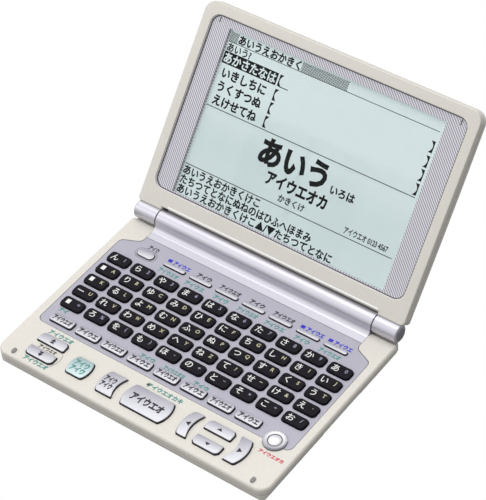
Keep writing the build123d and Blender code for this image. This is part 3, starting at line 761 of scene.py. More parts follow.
def lid_shape(grow: float) -> list[Point]:
    """Lid, whose lower ends reach down beside the hinge barrel.

    Args:
        grow: how far the outline is grown.

    Returns:
        Outline points, counter-clockwise.
    """
    half, top, slot, low, arm = 72.5 + grow, 101.3 + grow, 5.4 - grow, 3.9 - grow, 59.0 - grow
    low_r, top_r = 2.0 + grow, 5.5 + grow
    right = [(arm, slot), (arm, low)]
    right += arc(half - low_r, low + low_r, low_r, -90, 0)
    right += arc(half - top_r, top - top_r, top_r, 0, 90, 10)
    return mirrored(right)


def case_shape(grow: float) -> list[Point]:
    """Base at its parting line.

    Args:
        grow: how far the outline is grown.

    Returns:
        Outline points, counter-clockwise.
    """
    half, front, rear, radius, cut = 72.7 + grow, -52.9 - grow, 44.0 + grow, 5.5 + grow, 1.2
    right = arc(half - radius, front + radius, radius, -90, 0, 10) + [(half, rear - cut), (half - cut, rear)]
    return mirrored(right)


def grown(shape: Shape, by: float) -> Shape:
    """The same outline, grown by a distance."""
    return lambda grow: shape(grow + by)


class Words(NamedTuple):
    """A line of generic signs: its centre, type size, greatest width and the weight of its strokes."""

    signs: str
    u: float
    v: float
    size: float
    room: float
    weight: float = 0.03


class Mould:
    """Collects closed forms drawn in one set of axes and turns them into one piece."""

    def __init__(self, axes: Axes) -> None:
        """Start with no forms, in these axes."""
        self.axes = axes
        self.bm = bmesh.new()

    def prism(
        self,
        outline: Sequence[Point],
        low: float,
        high: float,
        corners: Corners | None = None,
        edge: float = 0.0,
    ) -> None:
        """Add a prism with rounded corners and a rounded upper edge.

        Args:
            outline: points counter-clockwise.
            low: height of the underside.
            high: height of the top.
            corners: gives the radius of an upright edge from its place, 0 for none.
            edge: radius of the upper edge.
        """
        form = bmesh.new()
        ring = [form.verts.new((u, v, low)) for u, v in outline]
        base = form.faces.new(ring)
        raised = bmesh.ops.extrude_face_region(form, geom=[base])["geom"]
        bmesh.ops.translate(
            form, vec=(0, 0, high - low), verts=[g for g in raised if isinstance(g, bmesh.types.BMVert)]
        )
        bmesh.ops.recalc_face_normals(form, faces=form.faces)
        if corners:
            self.round_corners(form, corners)
        if edge:
            rim = [e for e in form.edges if all(abs(p.co.z - high) < 1e-6 for p in e.verts)]
            self.bevel(form, rim, edge, 3)
        self.take(form)

    @staticmethod
    def bevel(form: bmesh.types.BMesh, edges: list[bmesh.types.BMEdge], radius: float, steps: int) -> None:
        """Round some edges of a form by a radius, in so many steps."""
        rule = {"profile": 0.5, "affect": "EDGES", "clamp_overlap": True}
        bmesh.ops.bevel(form, geom=edges, offset=radius, segments=steps, **rule)

    def round_corners(self, form: bmesh.types.BMesh, corners: Corners) -> None:
        """Round the upright edges of one form.

        Args:
            form: form to change.
            corners: gives the radius of an edge from its place.
        """
        radii: dict[float, list[bmesh.types.BMEdge]] = {}
        for e in form.edges:
            a, b = e.verts
            if abs(a.co.z - b.co.z) > 1e-6:
                radius = corners((a.co + b.co) / 2)
                if radius > 0:
                    radii.setdefault(radius, []).append(e)
        for radius, edges in radii.items():
            self.bevel(form, edges, radius, 7)

    def take(self, form: bmesh.types.BMesh) -> None:
        """Move one finished form into this mould.

        Args:
            form: form to move. It is freed.
        """
        mesh = bpy.data.meshes.new("form")
        form.to_mesh(mesh)
        form.free()
        self.bm.from_mesh(mesh)
        bpy.data.meshes.remove(mesh)

    def lathe(self, u: float, v: float, profile: Sequence[Point], steps: int = 64) -> None:
        """Add a turned form about an upright line.

        Args:
            u: centre across.
            v: centre up.
            profile: closed profile of radius and height.
            steps: parts round the turn.
        """
        rings = []
        for i in range(steps):
            t = math.tau * i / steps
            across, up = math.cos(t), math.sin(t)
            rings.append([self.bm.verts.new((u + r * across, v + r * up, h)) for r, h in profile])
        for ring, after in ((rings[i], rings[k]) for i, k in neighbours(steps)):
            for k, m in neighbours(len(profile)):
                self.bm.faces.new((ring[k], after[k], after[m], ring[m]))
        bmesh.ops.remove_doubles(self.bm, verts=self.bm.verts, dist=1e-5)
        bmesh.ops.dissolve_degenerate(self.bm, edges=self.bm.edges, dist=1e-6)
        bmesh.ops.recalc_face_normals(self.bm, faces=self.bm.faces)

    def text(
        self,
        words: str,
        u: float,
        v: float,
        low: float,
        size: float,
        room: float = math.inf,
        weight: float = 0.03,
    ) -> None:
        """Add thin raised lettering of plain letters, syllable signs or digits.

        Args:
            words: signs to draw.
            u: centre across.
            v: centre up.
            low: height of its underside.
            size: size of the type.
            room: greatest width, to which longer words are squeezed.
            weight: how far the strokes are thickened, as a share of the size.
        """
        curve = bpy.data.curves.new("type", "FONT")
        curve.body = words
        curve.size = size
        curve.align_x = "CENTER"
        curve.align_y = "CENTER"
        curve.resolution_u = 3
        curve.extrude = PRINT_T / 2
        curve.bevel_depth = weight * size
        curve.bevel_resolution = 0
        holder = bpy.data.objects.new("type", curve)
        bpy.context.scene.collection.objects.link(holder)
        bpy.context.view_layer.update()
        scene_state = bpy.context.evaluated_depsgraph_get()
        mesh = bpy.data.meshes.new_from_object(holder.evaluated_get(scene_state))
        xs = [p.co.x for p in mesh.vertices] or [0.0]
        ys = [p.co.y for p in mesh.vertices] or [0.0]
        middle = Vector(((min(xs) + max(xs)) / 2, (min(ys) + max(ys)) / 2, 0))
        squeeze = min(1.0, room / max(max(xs) - min(xs), 1e-6))
        flatten = PRINT_T / 2 / (PRINT_T / 2 + weight * size)
        place = Matrix.Translation((u, v, low + PRINT_T / 2)) @ Matrix.Diagonal((squeeze, 1, flatten, 1))
        mesh.transform(place @ Matrix.Translation(-middle))
        self.bm.from_mesh(mesh)
        bpy.data.meshes.remove(mesh)
        bpy.data.objects.remove(holder)
        bpy.data.curves.remove(curve)

    def words(self, line: Words, low: float) -> None:
        """Add one line of signs at a height."""
        self.text(line.signs, line.u, line.v, low, line.size, line.room, line.weight)

    def bar(self, u: float, v: float, width: float, height: float, low: float) -> None:
        """Add one thin printed bar about a centre."""
        self.prism(rectangle(u, v, width, height), low, low + PRINT_T)

    def letters(
        self, u: float, v: float, count: int, size: float, low: float, room: float = math.inf
    ) -> None:
        """Add a generic label: the first syllable signs in their plain order.

        Args:
            u: centre across.
            v: centre up.
            count: signs in the label.
            size: height of a sign.
            low: height of the underside.
            room: greatest width of the label.
        """
        self.text(PLAIN_ORDER[:count], u, v, low, size * 1.22, room, 0.055)

    def plate(
        self,
        outline: Shape,
        holes: Sequence[Shape],
        low: float,
        high: float,
        edge: float = 0.0,
        hole_edge: float = 0.0,
    ) -> None:
        """Add a plate with holes, whose upper edges are rounded.

        Args:
            outline: outer outline.
            holes: outlines of the holes.
            low: height of the underside.
            high: height of the top.
            edge: radius of the outer upper edge.
            hole_edge: radius of the upper edges of the holes.
        """
        form = bmesh.new()
        ends: list[list[bmesh.types.BMEdge]] = [[], []]
        for shape, radius, sign in [(outline, edge, -1.0), *[(hole, hole_edge, 1.0) for hole in holes]]:
            levels = [(shape(0.0), low), (shape(0.0), high - radius)]
            if radius:
                turns = quarter(3)[1:]
                for t in turns:
                    aside, down = radius * (1 - math.cos(t)), radius * (1 - math.sin(t))
                    levels.append((shape(sign * aside), high - down))
            rings = [[form.verts.new((u, v, z)) for u, v in points] for points, z in levels]
            for a, b in zip(rings, rings[1:]):
                for i, k in neighbours(len(a)):
                    form.faces.new((a[i], a[k], b[k], b[i]))
            for side, ring in zip(ends, (rings[0], rings[-1])):
                side += [form.edges.get((ring[i], ring[k])) for i, k in neighbours(len(ring))]
        for side in ends:
            bmesh.ops.triangle_fill(form, use_beauty=True, use_dissolve=False, edges=side)
        bmesh.ops.recalc_face_normals(form, faces=form.faces)
        self.take(form)

    def finish(
        self,
        name: str,
        finish: Finish,
        body: str,
        slot: str,
        replaces: Iterable[str] = (),
        smooth: float = 35.0,
    ) -> bpy.types.Object:
        """Make the piece.

        Args:
            name: name of the piece.
            finish: its finish.
            body: body that it rides on.
            slot: material slot of the record; not used.
            replaces: nodes that it stands for.
            smooth: angle, in degrees, under which faces shade smoothly.

        Returns:
            The new object.
        """
        mesh = bpy.data.meshes.new(name)
        self.bm.transform(self.axes.matrix())
        self.bm.to_mesh(mesh)
        self.bm.free()
        mesh.materials.append(finish.material())
        piece = bpy.data.objects.new(name, mesh)
        bpy.context.scene.collection.objects.link(piece)
        mesh.shade_smooth()
        mesh.set_sharp_from_angle(angle=math.radians(smooth))
        normals = piece.modifiers.new("flat_faces_flat", "WEIGHTED_NORMAL")
        normals.keep_sharp = True
        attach(piece, body)
        if replaces:
            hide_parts(*replaces)
        LOG.info("%s: %d faces, rides on %s", name, len(mesh.polygons), body)
        return piece


# ------------------------------------------------------------------ housings
@dataclass
class Housings:
    """The shells, hinge and inner parts that keep their own forms."""

    finishes: dict[Finish, tuple[str, ...]] = field(
        default_factory=lambda: {
            Finish.SHELL: ("bottom_case", "top_case", "lid_back_cover", "battery_door"),
            Finish.BARREL: ("hinge_cover", "left_knuckle", "right_knuckle"),
            Finish.STEEL: ("left_hinge_pin", "right_hinge_pin", "battery_contacts"),
            Finish.SCREW: ("case_screws", "lid_screws"),
            Finish.RUBBER: ("rubber_feet", "lid_bumpers"),
            Finish.SOFT_MAT: ("key_mat",),
            Finish.BOARD: ("circuit_board", "display_board"),
            Finish.SLEEVE: ("battery_cells",),
            Finish.DARK: ("port_cover", "cable_guide"),
            Finish.CAP: ("knuckle_caps",),
            Finish.SURROUND: ("screen_surround",),
            Finish.WINDOW: ("display_window",),
            Finish.CRYSTAL: ("lcd_panel",),
            Finish.WHITE_PLASTIC: ("backlight_plate",),
            Finish.FILM: ("flex_cable",),
        }
    )

    def build(self) -> None:
        """Dress every carried-over node."""
        for finish, nodes in self.finishes.items():
            for node in nodes:
                dress(node, finish)


# ------------------------------------------------------------------ keys
class KeyForm(NamedTuple):
    """Form of a key above its flange: centre, size without the flange, lowest and highest height."""

    u: float
    v: float
    width: float
    height: float
    low: float
    high: float

    def outline(self) -> list[Point]:
        """Corners of the key."""
        return rectangle(self.u, self.v, self.width, self.height)


class KeyRow(NamedTuple):
    """A row of silver keys that runs in the panel: its nodes' name and number, corners and upper edge."""

    group: str
    count: int
    corner: float
    edge: float

    def nodes(self) -> list[str]:
        """Node of each key, from left to right."""
        return [f"{self.group}_{i}" for i in range(1, self.count + 1)]


TOP_ROW = KeyRow("top_key", 7, 0.95, 0.35)
LOWER_ROW = KeyRow("lower_key", 8, 1.2, 0.4)


def key_form(node: str) -> KeyForm:
    """Measure a key.

    Args:
        node: key's node.

    Returns:
        Its form above the flange.
    """
    low, high = node_span(node)
    width, height = high.x - low.x - 2 * FLANGE_W, high.y - low.y - 2 * FLANGE_W
    return KeyForm(*middle(node), width, height, low.z, high.z)


def row_places(node: str) -> tuple[list[float], float]:
    """Places of the ten keys of a row.

    Args:
        node: row's node.

    Returns:
        Centres of the keys across and the row's centre up.
    """
    row = key_form(node)
    reach = (row.width - KanaKeys.size[0]) / 2
    return [row.u + reach * (2 * i / 9 - 1) for i in range(10)], row.v


@dataclass
class KanaKeys:
    """Ten by five black keys with a syllable sign and a small second sign each."""

    size: Point = (11.3, 5.9)
    corner: float = 1.7
    edge: float = 0.35
    main_rows: tuple[str, ...] = ("んらやまはなたさかあ", "・りゆみひにちしきい", "・るよむふぬつすくう",
                                  "ーれわめへねてせけえ", "・ろをもほのとそこお")
    small_rows: tuple[str, ...] = ("1234567890", "ABCDEFGHIJ", "KLMNOPQRST", "UVWXYZ?~&.", "=%()-+−×÷/")
    main: Words = Words("", -2.2, 0.1, 4.1, math.inf, 0.008)
    small: Words = Words("", 2.9, 0.6, 2.7, 2.0, 0.014)
    blank: tuple[float, float, float, float] = (-2.6, 0.2, 2.0, 2.4)
    small_inks: tuple[Finish, ...] = (Finish.LILAC_INK, Finish.CREAM_INK, Finish.CREAM_INK,
                                      Finish.CREAM_INK, Finish.LILAC_INK)

    def build(self) -> None:
        """Make the five rows."""
        for row in range(5):
            self.build_row(row)

    def build_row(self, row: int) -> None:
        """Make one row of ten keys and their signs. A dot in the table stands for a solid block.

        Args:
            row: 0 for the row next to the hinge.
        """
        node = f"kana_keys_row_{row + 1}"
        low, high = (corner.z for corner in node_span(node))
        places, v = row_places(node)
        caps, signs, seconds = (Mould(base_axes()) for _ in range(3))
        for u, main, small in zip(places, self.main_rows[row], self.small_rows[row]):
            caps.prism(rectangle(u, v, *self.size), low, high, lambda _: self.corner, self.edge)
            if main == "・":
                aside, up, width, height = self.blank
                signs.bar(u + aside, v + up, width, height, high)
            else:
                signs.words(self.main._replace(signs=main, u=u + self.main.u, v=v + self.main.v), high)
            seconds.words(self.small._replace(signs=small, u=u + self.small.u, v=v + self.small.v), high)
        for mould, name, finish, replaced in (
            (caps, "black_keys", Finish.BLACK, [node]),
            (signs, "key_signs", Finish.WHITE_INK, []),
            (seconds, "small_signs", self.small_inks[row], []),
        ):
            mould.finish(f"{name}_{row + 1}", finish, f"{node}_body", "black_key", replaced)


class KeyLabel(NamedTuple):
    """Generic label of a key: its lines, signs in a line, type size, shift across, room and ink."""

    lines: int
    count: int
    size: float
    shift: float
    room: float
    ink: Finish = Finish.DARK_INK


class Arrowhead(NamedTuple):
    """Arrowheads of a key: direction, whether they stand upright, and the shift up of each."""

    sign: int
    upright: bool
    shifts: tuple[float, ...] = (0.0,)


@dataclass
class SilverKeys:
    """The silver function keys, with their generic marks."""

    edge: float = 0.45
    power_edge: float = 0.5
    wide_corner: float = 2.3
    tight_corner: float = 0.8
    bowed_corner: float = 0.9
    pairs: dict[str, int] = field(
        default_factory=lambda: {"page_up_key": 1, "page_down_key": -1, "up_key": 1, "down_key": -1}
    )
    bulges: dict[str, Point] = field(
        default_factory=lambda: {
            "shift_key": (1.4, 1.4),
            "back_key": (1.8, -1.8),
            "enter_key": (1.8, 1.8),
            "left_key": (1.9, -1.9),
            "right_key": (-1.9, 1.9),
        }
    )
    arrows: dict[str, Arrowhead] = field(
        default_factory=lambda: {
            "up_key": Arrowhead(1, True),
            "down_key": Arrowhead(-1, True),
            "page_up_key": Arrowhead(1, True, (-0.62, 0.62)),
            "page_down_key": Arrowhead(-1, True, (-0.62, 0.62)),
            "left_key": Arrowhead(-1, False),
            "right_key": Arrowhead(1, False),
        }
    )
    arrow_half: float = 1.3
    upright_arrow: Point = (0.7, 1.5)
    level_arrow: Point = (0.6, 2.1)
    labels: dict[str, KeyLabel] = field(
        default_factory=lambda: {
            "shift_key": KeyLabel(2, 3, 2.8, 0.0, 7.6, Finish.TEAL_INK),
            "back_key": KeyLabel(2, 3, 2.8, -0.9, 6.0),
            "enter_key": KeyLabel(1, 5, 3.8, 0.0, 17.0),
        }
    )
    ring_bore: float = 3.1
    ring_round: Point = (1.3, 0.95)
    ring_lip: Point = (0.45, 0.5)
    dome_radius: float = 2.95
    dome_rise: float = 1.0

    def build(self) -> None:
        """Make all silver keys."""
        power = key_form("power_key")
        self.cap("power_key", power.outline(), lambda _: power.height / 2 - OVAL_FLAT, self.power_edge)
        for row in (TOP_ROW, LOWER_ROW):
            for number, node in enumerate(row.nodes(), 1):
                self.cap(node, key_form(node).outline(), lambda _, radius=row.corner: radius, row.edge)
                if row is LOWER_ROW:
                    self.label(node, KeyLabel(1, 4 + number % 2, 2.6, 0.0, 10.2))
        self.front_keys()
        for node, arrow in self.arrows.items():
            self.arrow(node, arrow)
        for node, label in self.labels.items():
            self.label(node, label)
        self.round_key()

    def cap(self, node: str, outline: list[Point], corners: Corners, edge: float) -> None:
        """Make one key.

        Args:
            node: node that it stands for.
            outline: its outline.
            corners: gives the radius of an upright edge from its place.
            edge: radius of its upper edge.
        """
        key = key_form(node)
        paint = Finish.TINTED if node == "shift_key" else Finish.SILVER
        cap = Mould(base_axes())
        cap.prism(outline, key.low, key.high, corners, edge)
        cap.finish(f"{node}_cap", paint, f"{node}_body", "silver_key", [node])

    def label(self, node: str, label: KeyLabel) -> None:
        """Put a generic label on a key.

        Args:
            node: node of the key.
            label: its label.
        """
        key = key_form(node)
        marks = Mould(base_axes())
        for line in range(label.lines):
            v = key.v + ((label.lines - 1) / 2 - line) * label.size * 1.25
            marks.letters(key.u + label.shift, v, label.count, label.size, key.high, label.room)
        marks.finish(f"{node}_label", label.ink, f"{node}_body", "silver_key")

    def front_keys(self) -> None:
        """Make the nine keys in front of the panel: four in pairs and five with bowed sides."""
        for node, side in self.pairs.items():
            key = key_form(node)

            def outer(p: Vector, v: float = key.v, side: int = side) -> float:
                """Wide corners on the side that faces away from the other key of the pair."""
                return self.wide_corner if (p.y - v) * side > 0 else self.tight_corner

            self.cap(node, key.outline(), outer, self.edge)
        for node, bulge in self.bulges.items():
            key = key_form(node)

            def end(p: Vector, key: KeyForm = key) -> float:
                """Corners at the ends of the bowed sides, and none along them."""
                return self.bowed_corner if abs(abs(p.y - key.v) - key.height / 2) < 1e-4 else 0.0

            self.cap(node, bowed(key.u, key.v, key.width, key.height, *bulge), end, self.edge)

    def arrow(self, node: str, arrow: Arrowhead) -> None:
        """Put arrowheads on a key.

        Args:
            node: node of the key.
            arrow: its arrowheads.
        """
        key, half = key_form(node), self.arrow_half
        back, length = self.upright_arrow if arrow.upright else self.level_arrow
        marks = Mould(base_axes())
        for shift in arrow.shifts:
            if arrow.upright:
                u, base = key.u, key.v + shift - back * arrow.sign
                corners = (u - half, base), (u + half, base), (u, base + length * arrow.sign)
            else:
                base, v = key.u - back * arrow.sign, key.v
                corners = (base, v - half), (base, v + half), (base + length * arrow.sign, v)
            marks.prism(sorted_triangle(*corners), key.high, key.high + PRINT_T)
        marks.finish(f"{node}_arrow", Finish.DARK_INK, f"{node}_body", "silver_key")

    def round_key(self) -> None:
        """Make the domed round key and its ring."""
        low, high = node_span("round_key_ring")
        (u, v), outer, bore = middle("round_key_ring"), (high.x - low.x) / 2, self.ring_bore
        (reach, drop), (lip, dip), top = self.ring_round, self.ring_lip, high.z
        outside = [(outer - reach * (1 - math.cos(t)), top - drop + drop * math.sin(t)) for t in quarter(7)]
        inside = [(bore + lip * (1 - math.sin(t)), top - dip + dip * math.cos(t)) for t in quarter(5)]
        ring = Mould(base_axes())
        ring.lathe(u, v, [(outer, low.z), *outside, *inside, (bore, low.z)])
        ring.finish("round_ring", Finish.RING, "base", "silver_key", ["round_key_ring"])
        low, high = node_span("round_key")
        radius, rise = self.dome_radius, self.dome_rise
        dome = [(radius * math.cos(t), high.z - rise + rise * math.sin(t)) for t in quarter(8)[:-1]]
        cap = Mould(base_axes())
        cap.lathe(u, v, [(0.0, low.z), (radius, low.z), *dome, (0.0, high.z)])
        cap.finish("round_dome", Finish.DOME, "round_key_body", "silver_key", ["round_key"])


def sorted_triangle(a: Point, b: Point, c: Point) -> list[Point]:
    """Three points put in counter-clockwise order."""
    turn = (b[0] - a[0]) * (c[1] - a[1]) - (b[1] - a[1]) * (c[0] - a[0])
    return [a, b, c] if turn > 0 else [a, c, b]


# ------------------------------------------------------------------ printed marks on the base
@dataclass
class BasePrint:
    """Generic printed labels beside the keys of the base."""

    size: float = 2.25
    small: float = 1.75
    room: float = 11.0
    above: float = 2.9
    below: float = 3.7
    blue_keys: tuple[int, ...] = (1, 6, 7)
    blue_bar: Point = (2.2, 1.8)
    lower_labels: tuple[tuple[int, int], ...] = ((4, 3), (5, 6), (6, 3))
    deck_rows: tuple[tuple[str, int, float, float, int], ...] = (
        ("page_up_key", 1, 0.6, 1.4, 5),
        ("page_down_key", 0, 0.6, -1.2, 5),
        ("enter_key", 1, 2.4, 2.2, 7),
    )
    oval: Point = (11.2, 6.2)
    oval_line: float = 0.22
    sweep_at: Point = (-51.5, -43.6)
    sweep_radii: Point = (7.8, 7.6)
    sweep_turn: Point = (-42.0, 28.0)

    def build(self) -> None:
        """Print every label."""
        teal, blue, dark, red, lines = (Mould(base_axes()) for _ in range(5))
        self.panel_labels(teal, blue, dark)
        self.deck_labels(teal, dark, red)
        self.outlines(lines)
        for mould, name, ink, slot in (
            (lines, "outline_marks", Finish.LINE_INK, "panel_plastic"),
            (teal, "teal_labels", Finish.TEAL_INK, "panel_plastic"),
            (blue, "blue_labels", Finish.BLUE_INK, "panel_plastic"),
            (dark, "dark_labels", Finish.DARK_INK, "panel_plastic"),
            (red, "red_label", Finish.RED_INK, "shell"),
        ):
            mould.finish(name, ink, "base", slot)

    def panel_labels(self, teal: Mould, blue: Mould, dark: Mould) -> None:
        """Print the labels on the keyboard panel.

        Args:
            teal: teal print.
            blue: blue print.
            dark: dark print.
        """
        top = node_span("keyboard_panel")[1].z
        for i, node in enumerate(TOP_ROW.nodes(), 1):
            u, v = middle(node)
            teal.letters(u - 0.6, v - self.below, 3 + (i * 2) % 3, self.size, top, self.room)
            if i in self.blue_keys:
                blue.bar(u - 4.6, v + self.above, *self.blue_bar, top)
                blue.letters(u + 2.0, v + self.above, 4, self.size, top, 9.2)
            else:
                dark.letters(u, v + self.above, 3 + i % 2 * 2, self.size, top, self.room)
        power_back = node_span("power_key")[1].y
        dark.letters(middle("power_key")[0] + 1.0, power_back + 2.0, 3, self.size, top, 5.6)
        for i, count in self.lower_labels:
            node = f"lower_key_{i}"
            teal.letters(middle(node)[0] + 1.0, node_span(node)[1].y + 0.75, count, self.size, top, self.room)
        teal.letters(-61.5, -19.5, 2, self.size, top)

    def deck_labels(self, teal: Mould, dark: Mould, red: Mould) -> None:
        """Print the labels on the case in front of the panel.

        Args:
            teal: teal print.
            dark: dark print.
            red: red print.
        """
        deck = node_span("top_case")[1].z
        for node, side, aside, up, count in self.deck_rows:
            teal.letters(middle(node)[0] + aside, node_span(node)[side].y + up, count, self.size, deck)
        between = (node_span("page_up_key")[0].y + node_span("page_down_key")[1].y) / 2
        dark.letters(middle("page_up_key")[0] + 0.3, between, 5, self.small, deck, 9.5)
        dark.bar(middle("enter_key")[0] - 6.6, node_span("enter_key")[1].y + 2.2, 1.5, 0.9, deck)
        ring = "round_key_ring"
        red.letters(middle(ring)[0] + 3.2, node_span(ring)[0].y - 1.9, 6, self.small, deck)

    def outlines(self, lines: Mould) -> None:
        """Print the curved stroke on the case and the oval round the power key.

        Args:
            lines: print of the lines.
        """
        deck, top = node_span("top_case")[1].z, node_span("keyboard_panel")[1].z
        outer, inner = (arc(*self.sweep_at, radius, *self.sweep_turn, 16) for radius in self.sweep_radii)
        lines.prism(outer + inner[::-1], deck, deck + PRINT_T)
        oval = rounded(*middle("power_key"), *self.oval, self.oval[1] / 2 - OVAL_FLAT)
        lines.plate(oval, [grown(oval, -self.oval_line)], top, top + PRINT_T)


# ------------------------------------------------------------------ screen image
@dataclass
class ScreenImage:
    """A generic dictionary page on the crystal panel, drawn in the lid's axes."""

    left: float = -56.4
    right: float = 55.2
    middle: float = -0.7
    width: float = 111.8
    level: float = -0.1
    cell: float = 0.48
    bar_length: float = 64.0
    bar_rows: int = 9
    heading: Words = Words("あいうえおかきく", -34.9, 88.85, 4.6, 33.8, 0.04)
    heading_room: Point = (34.6, 4.4)
    top_rule: Point = (86.5, 0.3)
    prompt: Words = Words("あいう?", -49.8, 84.1, 4.2, 13.0)
    entries: tuple[Words, ...] = (
        Words("あかさたなは", -41.8, 79.3, 5.1, 28.4),
        Words("いきしちに", -42.4, 72.6, 5.2, 24.2, 0.04),
        Words("うくすつぬ", -42.4, 66.3, 5.2, 24.2, 0.04),
        Words("えけせてね", -42.4, 59.9, 5.2, 24.2, 0.04),
    )
    entry_bar: Point = (29.6, 5.6)
    cursor: tuple[float, float, float, float] = (-22.6, -2.6, 5.0, 0.4)
    opening: float = -26.1
    bracket_size: tuple[float, float, float] = (2.65, 0.55, 1.5)
    rules: tuple[Point, ...] = ((56.4, 0.35), (28.1, 0.35))
    titles: tuple[Words, ...] = (
        Words("あいう", -5.0, 48.2, 13.4, 36.0, 0.045),
        Words("いろは", 22.6, 44.6, 4.5, 12.8, 0.04),
        Words("アイウエオカ", 0.8, 37.9, 6.8, 32.5, 0.045),
        Words("かきくけ", 0.6, 31.6, 3.7, 14.0),
        Words("アイウエオ 0123 4567", 40.6, 31.0, 3.5, 22.8),
    )
    help_pitch: float = 4.25
    help_size: float = 4.6
    help_weight: float = 0.035
    help_texts: tuple[tuple[str, float], ...] = (
        ("あいうえおかきくけこ", 25.4),
        ("たちつてとなにぬねのはひふへほまみ", 20.9),
        ("あいうえおかきくけこ▲/▼たちつてとなに", 16.4),
    )

    def build(self) -> None:
        """Draw the page."""
        marks, clear = Mould(lid_axes()), Mould(lid_axes())
        self.title_bar(marks, clear)
        self.search_lines(marks, clear)
        self.titles_and_help(marks)
        marks.finish("screen_marks", Finish.CRYSTAL_MARK, "lid", "lcd")
        clear.finish("screen_clear_marks", Finish.CRYSTAL, "lid", "lcd")

    def rule(self, marks: Mould, v: float, thick: float) -> None:
        """Draw a line over the whole width."""
        marks.bar(self.middle, v, self.width, thick, self.level)

    def title_bar(self, marks: Mould, clear: Mould) -> None:
        """Draw the chequered bar at the top with its signs, and the rule and signs under it.

        Args:
            marks: dark marks.
            clear: marks in the tone of the ground.
        """
        for i in range(int(self.bar_length / self.cell)):
            for k in range(i % 2, self.bar_rows, 2):
                v = self.heading.v + self.cell * (k - self.bar_rows / 2 + 0.5)
                marks.bar(self.left + self.cell * i, v, self.cell, self.cell, self.level)
        clear.bar(self.heading.u, self.heading.v, *self.heading_room, self.level + PRINT_T)
        marks.words(self.heading, self.level + 2 * PRINT_T)
        self.rule(marks, *self.top_rule)
        marks.words(self.prompt, self.level)

    def search_lines(self, marks: Mould, clear: Mould) -> None:
        """Draw four entry lines between brackets, the first one inverted and with a cursor.

        Args:
            marks: dark marks.
            clear: marks in the tone of the ground.
        """
        first = self.entries[0]
        aside, down, width, height = self.cursor
        marks.bar(first.u, first.v, *self.entry_bar, self.level)
        clear.words(first, self.level + PRINT_T)
        marks.bar(aside, first.v + down, width, height, self.level)
        for entry in self.entries:
            if entry is not first:
                marks.words(entry, self.level)
            self.bracket(marks, self.opening, entry.v, 1)
            self.bracket(marks, self.right, entry.v, -1)

    def bracket(self, marks: Mould, u: float, v: float, sign: int) -> None:
        """Draw one solid bracket with a hollow inner side.

        Args:
            marks: dark marks.
            u: place of its outer side.
            v: centre up.
            sign: 1 where it opens to the right, -1 to the left.
        """
        tall, thick, deep = self.bracket_size
        hollow = [(u + sign * (thick + deep * (k / 4) ** 2), v + tall * k / 4) for k in range(4, -5, -1)]
        outline = [(u, v - tall), (u, v + tall), *hollow]
        marks.prism(outline[::-1] if sign > 0 else outline, self.level, self.level + PRINT_T)

    def titles_and_help(self, marks: Mould) -> None:
        """Draw the large generic signs between two rules, and three lines of small signs at the foot.

        Args:
            marks: dark marks.
        """
        for v, thick in self.rules:
            self.rule(marks, v, thick)
        for title in self.titles:
            marks.words(title, self.level)
        for line, v in self.help_texts:
            room = self.help_pitch * len(line)
            line_of_help = Words(line, self.left + room / 2, v, self.help_size, room, self.help_weight)
            marks.words(line_of_help, self.level)


# ------------------------------------------------------------------ lid trim
@dataclass
class LidFront:
    """The lid's front frame with its rounded edges, the parting line, two small marks and a painted highlight
    along its lower edge.
    """

    face: float = 2.4
    shelf: float = 1.2
    split: float = -0.6
    wall: float = 1.3
    edge: float = 0.55
    window: tuple[float, float, float, float, float] = (0.0, 54.575, 135.3, 83.55, 5.0)
    window_edge: float = 0.2
    seam: float = 0.14
    inset: float = 0.06
    rim: float = 0.22
    rim_lift: float = 0.5
    rim_edge: float = 0.15
    line: float = 0.5
    line_lift: float = 0.06
    # painted shade beside the display's left edge
    opening_shade_line: tuple[float, float, float, float] = (-57.28, 53.0, 0.34, 77.9)
    tick: tuple[float, float, float, float] = (63.6, 94.0, 0.5, 2.4)
    # painted highlight along the lid's lower edge
    painted_highlight_edge: tuple[float, float, float, float] = (1.25, 6.36, 114.7, 0.74)

    def build(self) -> None:
        """Make the frame and its trim."""
        face, seam, ticks, edge = (Mould(lid_axes()) for _ in range(4))
        window, inner = rounded(*self.window), grown(lid_shape, -self.wall)
        face.plate(lid_shape, [window], self.shelf, self.face, self.edge, self.window_edge)
        face.plate(lid_shape, [inner], self.split + self.seam, self.shelf)
        face.finish("lid_face", Finish.SHELL, "lid", "shell", ["lid_front_frame"])
        self.window_trim(window)
        seam.plate(grown(lid_shape, -self.inset), [inner], self.split, self.split + self.seam)
        seam.finish("lid_parting_line", Finish.SEAM, "lid", "dark_plastic")
        u, v, width, height = self.tick
        for side in (-1, 1):
            ticks.bar(side * u, v, width, height, self.shelf)
        ticks.finish("surround_ticks", Finish.DARK, "lid", "dark_plastic")
        # painted highlight: white strip along the lid's lower edge
        edge.bar(*self.painted_highlight_edge, self.face)
        edge.finish("lid_painted_highlight_edge", Finish.BRIGHT_EDGE, "lid", "shell")

    def window_trim(self, window: Shape) -> None:
        """Make the bright rim in the window, and dark lines of painted shade inside it and beside the
        display.

        Args:
            window: outline of the window.
        """
        rim, line = Mould(lid_axes()), Mould(lid_axes())
        inside, level = -self.rim, self.shelf
        outer, inner = grown(window, 0.02), grown(window, inside)
        rim.plate(outer, [inner], level, level + self.rim_lift, 0.0, self.rim_edge)
        rim.finish("window_rim", Finish.RIM, "lid", "surround_plastic")
        # painted shade: a dark line inside the rim and a dark bar beside the display, where the window's edge
        # throws shade
        outer, inner = grown(window, 0.05 + inside), grown(window, inside - self.line)
        line.plate(outer, [inner], level, level + self.line_lift)
        line.bar(*self.opening_shade_line, level)
        line.finish("window_shade_line", Finish.SEAM, "lid", "dark_plastic")


